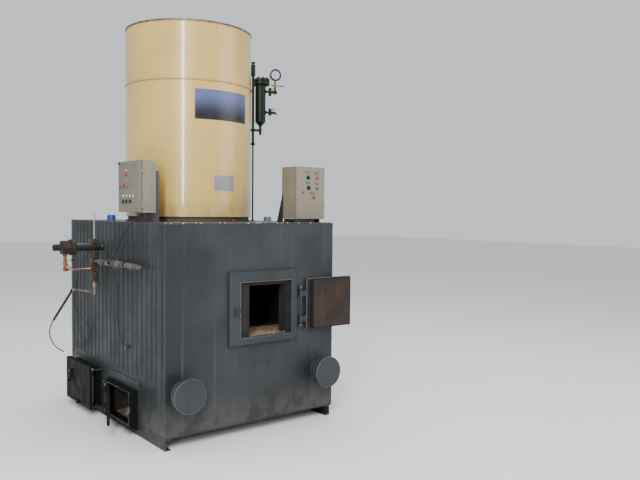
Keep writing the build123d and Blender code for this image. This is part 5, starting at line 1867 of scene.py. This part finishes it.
@dataclass
class SidePipes(Assembly):
    """Fittings of the pipes on the left wall."""

    feed_x: float = -0.775
    feed_y: float = 0.205
    outlet_z: float = 1.318
    run_z: float = 1.210
    bypass_x: float = -1.000
    bypass_z: float = 1.150
    wheel_z: float = 1.260
    gland_x: float = -0.735

    def outlet(self) -> None:
        """Adds the outlet head's bolts, gasket edge, thread and tie wire."""
        shaper = self.piece("outlet_fittings")
        y, z = self.feed_y, self.outlet_z
        shaper.heads(ring((-0.930, y, z), RIGHT, 0.0505, 8, 22.5), RIGHT, 0.007, 0.007, "rusty")
        rings = [(-0.948, 0.0565, 0.0022, "rust_light", 40, 7)]
        rings += [(-1.044 - index * 0.0045, 0.0238, 0.0012, "stub", 32, 6) for index in range(9)]
        rings += [(LEFT_X - 0.009, 0.0315, 0.005, "outlet_green", 36, 8),
                  (-0.925, 0.0315, 0.004, "outlet_green", 36, 8)]
        for x, radius, thick, finish, steps, sides in rings:
            shaper.torus((x, y, z), RIGHT, radius, thick, finish, steps, sides)
        shaper.tube([(-0.962, 0.150, 1.352), (-0.966, 0.158, 1.374), (-0.964, 0.186, 1.3835),
                     (-0.961, 0.216, 1.3815), (-0.968, 0.236, 1.386), (-0.985, 0.246, 1.402),
                     (-0.996, 0.250, 1.420)], 0.0016, "rusty", 7)
        shaper.make("boiler", "rusty_iron")

    def stack(self) -> None:
        """Adds the manifold's unions, valve wheel, band and rusty collars."""
        shaper = self.piece("stack_fittings")
        x, y, z = self.feed_x, self.feed_y, self.wheel_z
        shoulder = band(0.012, 0.0225, 0.019, 0.003)
        stem = [(0, 0.010), (0.016, 0.009), (0.018, 0.006), (0.034, 0.006)]
        neck = [(0, 0.011), (0.014, 0.010), (0.018, 0.0065)]
        for middle in (1.2325, 1.1835, 1.169, 1.120, 1.103, 1.055):
            shaper.lathe((x, y, middle - 0.006), UP, shoulder, "rusty", 24)
        shaper.lathe((x, y - 0.016, z), FRONT, stem, "rusty", 16)
        shaper.torus((x, y - 0.050, z), BACK, 0.021, 0.0035, "rusty", 28)
        for index in range(3):
            shaper.turn = placed((x, y - 0.050, z), 60 * index, "Y")
            shaper.block((-0.020, -0.0016, -0.0016), (0.020, 0.0016, 0.0016), "rusty", 0.0006)
        shaper.turn = None
        shaper.lathe((x, y, self.outlet_z + 0.030), UP, stud(0.010, 0.019, 0.016, 0.006),
                     "rusty", 20)
        shaper.lathe((x, y, 1.3625), UP, neck, "rusty", 16)
        shaper.tube([(x + 0.017, y - 0.017, 1.335), (x + 0.021, y - 0.022, 1.352),
                     (x + 0.017, y - 0.026, 1.372), (x + 0.009, y - 0.022, 1.381)], 0.003,
                    "rusty", 8)
        shaper.make("boiler", "rusty_iron")

    def bypass(self) -> None:
        """Adds the orange bypass's thin loop tube, nuts and grip."""
        shaper = self.piece("bypass_fittings")
        x, y, z = self.bypass_x, self.feed_y, self.bypass_z
        shaper.tube([(place, y - out, height) for place, out, height in (
            (x, 0.011, 1.226), (-0.996, 0.014, 1.205), (-0.986, 0.015, 1.184),
            (-0.968, 0.014, 1.166), (-0.944, 0.012, 1.156), (-0.915, 0.009, 1.1515),
            (-0.880, 0.006, 1.149), (-0.838, 0.004, 1.147), (-0.799, 0.002, 1.146))],
                    0.004, "copper", 10)
        nut = band(0.016, 0.016, 0.0145, 0.002)
        grip = [(0, 0.0062), (0.004, 0.0075), (0.024, 0.0068), (0.027, 0.004)]
        for origin, way, outline, finish, steps in (
                ((x, y, 1.252), UP, nut, "copper", 6), ((x, y, 1.196), UP, nut, "copper", 6),
                ((x, y, 1.137), UP, band(0.029, 0.0145, 0.010, 0.003), "copper", 20),
                ((-0.986, y, z), RIGHT, stud(0.016, 0.0105, 0.007, 0.014), "copper", 6),
                ((-0.812, y, z), RIGHT, stud(0.018, 0.0115, 0.009, 0.016), "brass", 6),
                ((-0.956, y, 1.222), RIGHT, grip, "black", 14)):
            shaper.lathe(origin, way, outline, finish, steps)
        shaper.make("boiler", "rusty_iron")

    def run(self) -> None:
        """Adds the unions, brass rings, thread and valve grip of the horizontal run."""
        shaper = self.piece("run_fittings")
        x, z = self.feed_x, self.run_z
        for start, length, radius, finish, sides in (
                (0.168, 0.018, 0.018, "zinc", 6), (0.066, 0.008, 0.0235, "pale", 28),
                (-0.006, 0.008, 0.0235, "pale", 28), (-0.076, 0.006, 0.0255, "pale", 28),
                (-0.128, 0.006, 0.0255, "pale", 28), (-0.186, 0.010, 0.0275, "zinc", 28),
                (-0.304, 0.010, 0.0275, "zinc", 28), (-0.348, 0.022, 0.0205, "brass", 6),
                (-0.376, 0.010, 0.0245, "brass_dark", 28), (-0.430, 0.008, 0.0250, "pale", 28),
                (-0.510, 0.008, 0.0250, "pale", 28), (-0.562, 0.010, 0.0235, "pale", 28)):
            shaper.lathe((x, start, z), FRONT,
                         band(length, radius, radius * 0.93, length * 0.18), finish, sides)
        for index in range(7):
            shaper.torus((x, -0.569 - index * 0.0042, z), BACK, 0.0121, 0.001, "zinc", 24, 6)
        stem = [(0, 0.010), (0.010, 0.009), (0.012, 0.0055), (0.020, 0.0055)]
        sleeve = [(0, 0.0098), (0.006, 0.0098), (0.016, 0.0066), (0.020, 0.0062)]
        shaper.lathe((x, -0.245, z + 0.018), UP, stem, "zinc", 16)
        shaper.block((x - 0.006, -0.292, z + 0.036), (x + 0.006, -0.232, z + 0.0405), "black",
                     0.0016)
        shaper.lathe((-0.8006, -0.1362, 1.218), (-0.6, -0.8, 0.0), sleeve, "rubber", 16)
        for y in (0.100, -0.345):
            shaper.block((LEFT_X - 0.075, y - 0.009, z - 0.0155),
                         (LEFT_X - 0.001, y + 0.009, z - 0.0118), "steel", 0.001)
        shaper.make("boiler", "galvanised")

    def drain(self) -> None:
        """Adds the drain elbow's bands, the arm's nuts and the sleeve's rings."""
        shaper = self.piece("drain_fittings")
        x, y = self.feed_x, self.feed_y
        for z in (1.038, 0.990, 0.950):
            shaper.lathe((x, y, z), UP, band(0.014, 0.016, 0.0145, 0.003), "pale", 24)
        arm, arm_start = Vector((-0.168, 0, 0.034)).normalized(), Vector((x, y, 0.965))
        sleeve, knee = Vector((-0.5446, 0, -0.8387)), Vector((-0.943, y, 0.999))
        for origin, way, outline, finish, steps in (
                (arm_start + arm * 0.010, arm, stud(0.024, 0.0125, 0.0095, 0.020), "pale", 24),
                (arm_start + arm * 0.140, arm, stud(0.020, 0.0115, 0.009, 0.018), "zinc", 6),
                (knee + sleeve * 0.252, sleeve, stud(0.018, 0.0088, 0.0055, 0.006), "rubber",
                 16)):
            shaper.lathe(origin, way, outline, finish, steps)
        for along in (0.030, 0.243):
            shaper.torus(knee + sleeve * along, sleeve, 0.0096, 0.0016, "steel", 24, 7)
        shaper.make("boiler", "galvanised")

    def glands(self) -> None:
        """Adds tapered reliefs, lid screws and lid lips to the wall glands."""
        shaper = self.piece("gland_fittings")
        relief = [(0, 0.0078), (0.005, 0.0078), (0.016, 0.0052), (0.022, 0.0046)]
        for place, way, share in (((self.gland_x, 0.3959, 1.331), DOWN, 1.0),
                                  ((self.gland_x, 0.815, 0.293), UP, 1.0),
                                  ((self.gland_x, -0.2907, 0.612), BACK, 0.78),
                                  ((self.feed_x, -0.205, 1.169), DOWN, 0.78)):
            shaper.lathe(place, way, [(along, radius * share) for along, radius in relief],
                         "rubber", 16)
        lid_x = self.gland_x - 0.0125
        for y, z in ((0.3959, 1.357), (0.815, 0.267), (-0.3167, 0.612)):
            shaper.block((lid_x, y - 0.0132, z - 0.0132), (lid_x + 0.003, y + 0.0132, z + 0.0132),
                         "zinc", 0.0008)
            shaper.heads([(lid_x, y + dy, z + dz) for dy in (-0.0095, 0.0095)
                          for dz in (-0.0095, 0.0095)], LEFT, 0.0022, 0.0012, "steel", 8)
        shaper.make("boiler", "galvanised")

    def build(self) -> None:
        """Builds the pipes' fittings."""
        self.outlet()
        self.stack()
        self.bypass()
        self.run()
        self.drain()
        self.glands()


def main() -> None:
    """Builds the studio and every sub-assembly."""
    logging.basicConfig(level=logging.INFO, format="%(name)s %(message)s")
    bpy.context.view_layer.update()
    kit = Kit()
    Studio().build()
    for finish, nodes in COATS.items():
        for node in nodes:
            kit.coat(node, finish)
    for maker in (Cables, FurnaceBlock, FiringDoor, AshDoors, Drum, Cabinets, LevelColumn,
                  SidePipes):
        LOG.info("building %s", maker.__name__)
        maker(kit).build()
    bpy.context.view_layer.update()


if __name__ == "__main__":
    main()
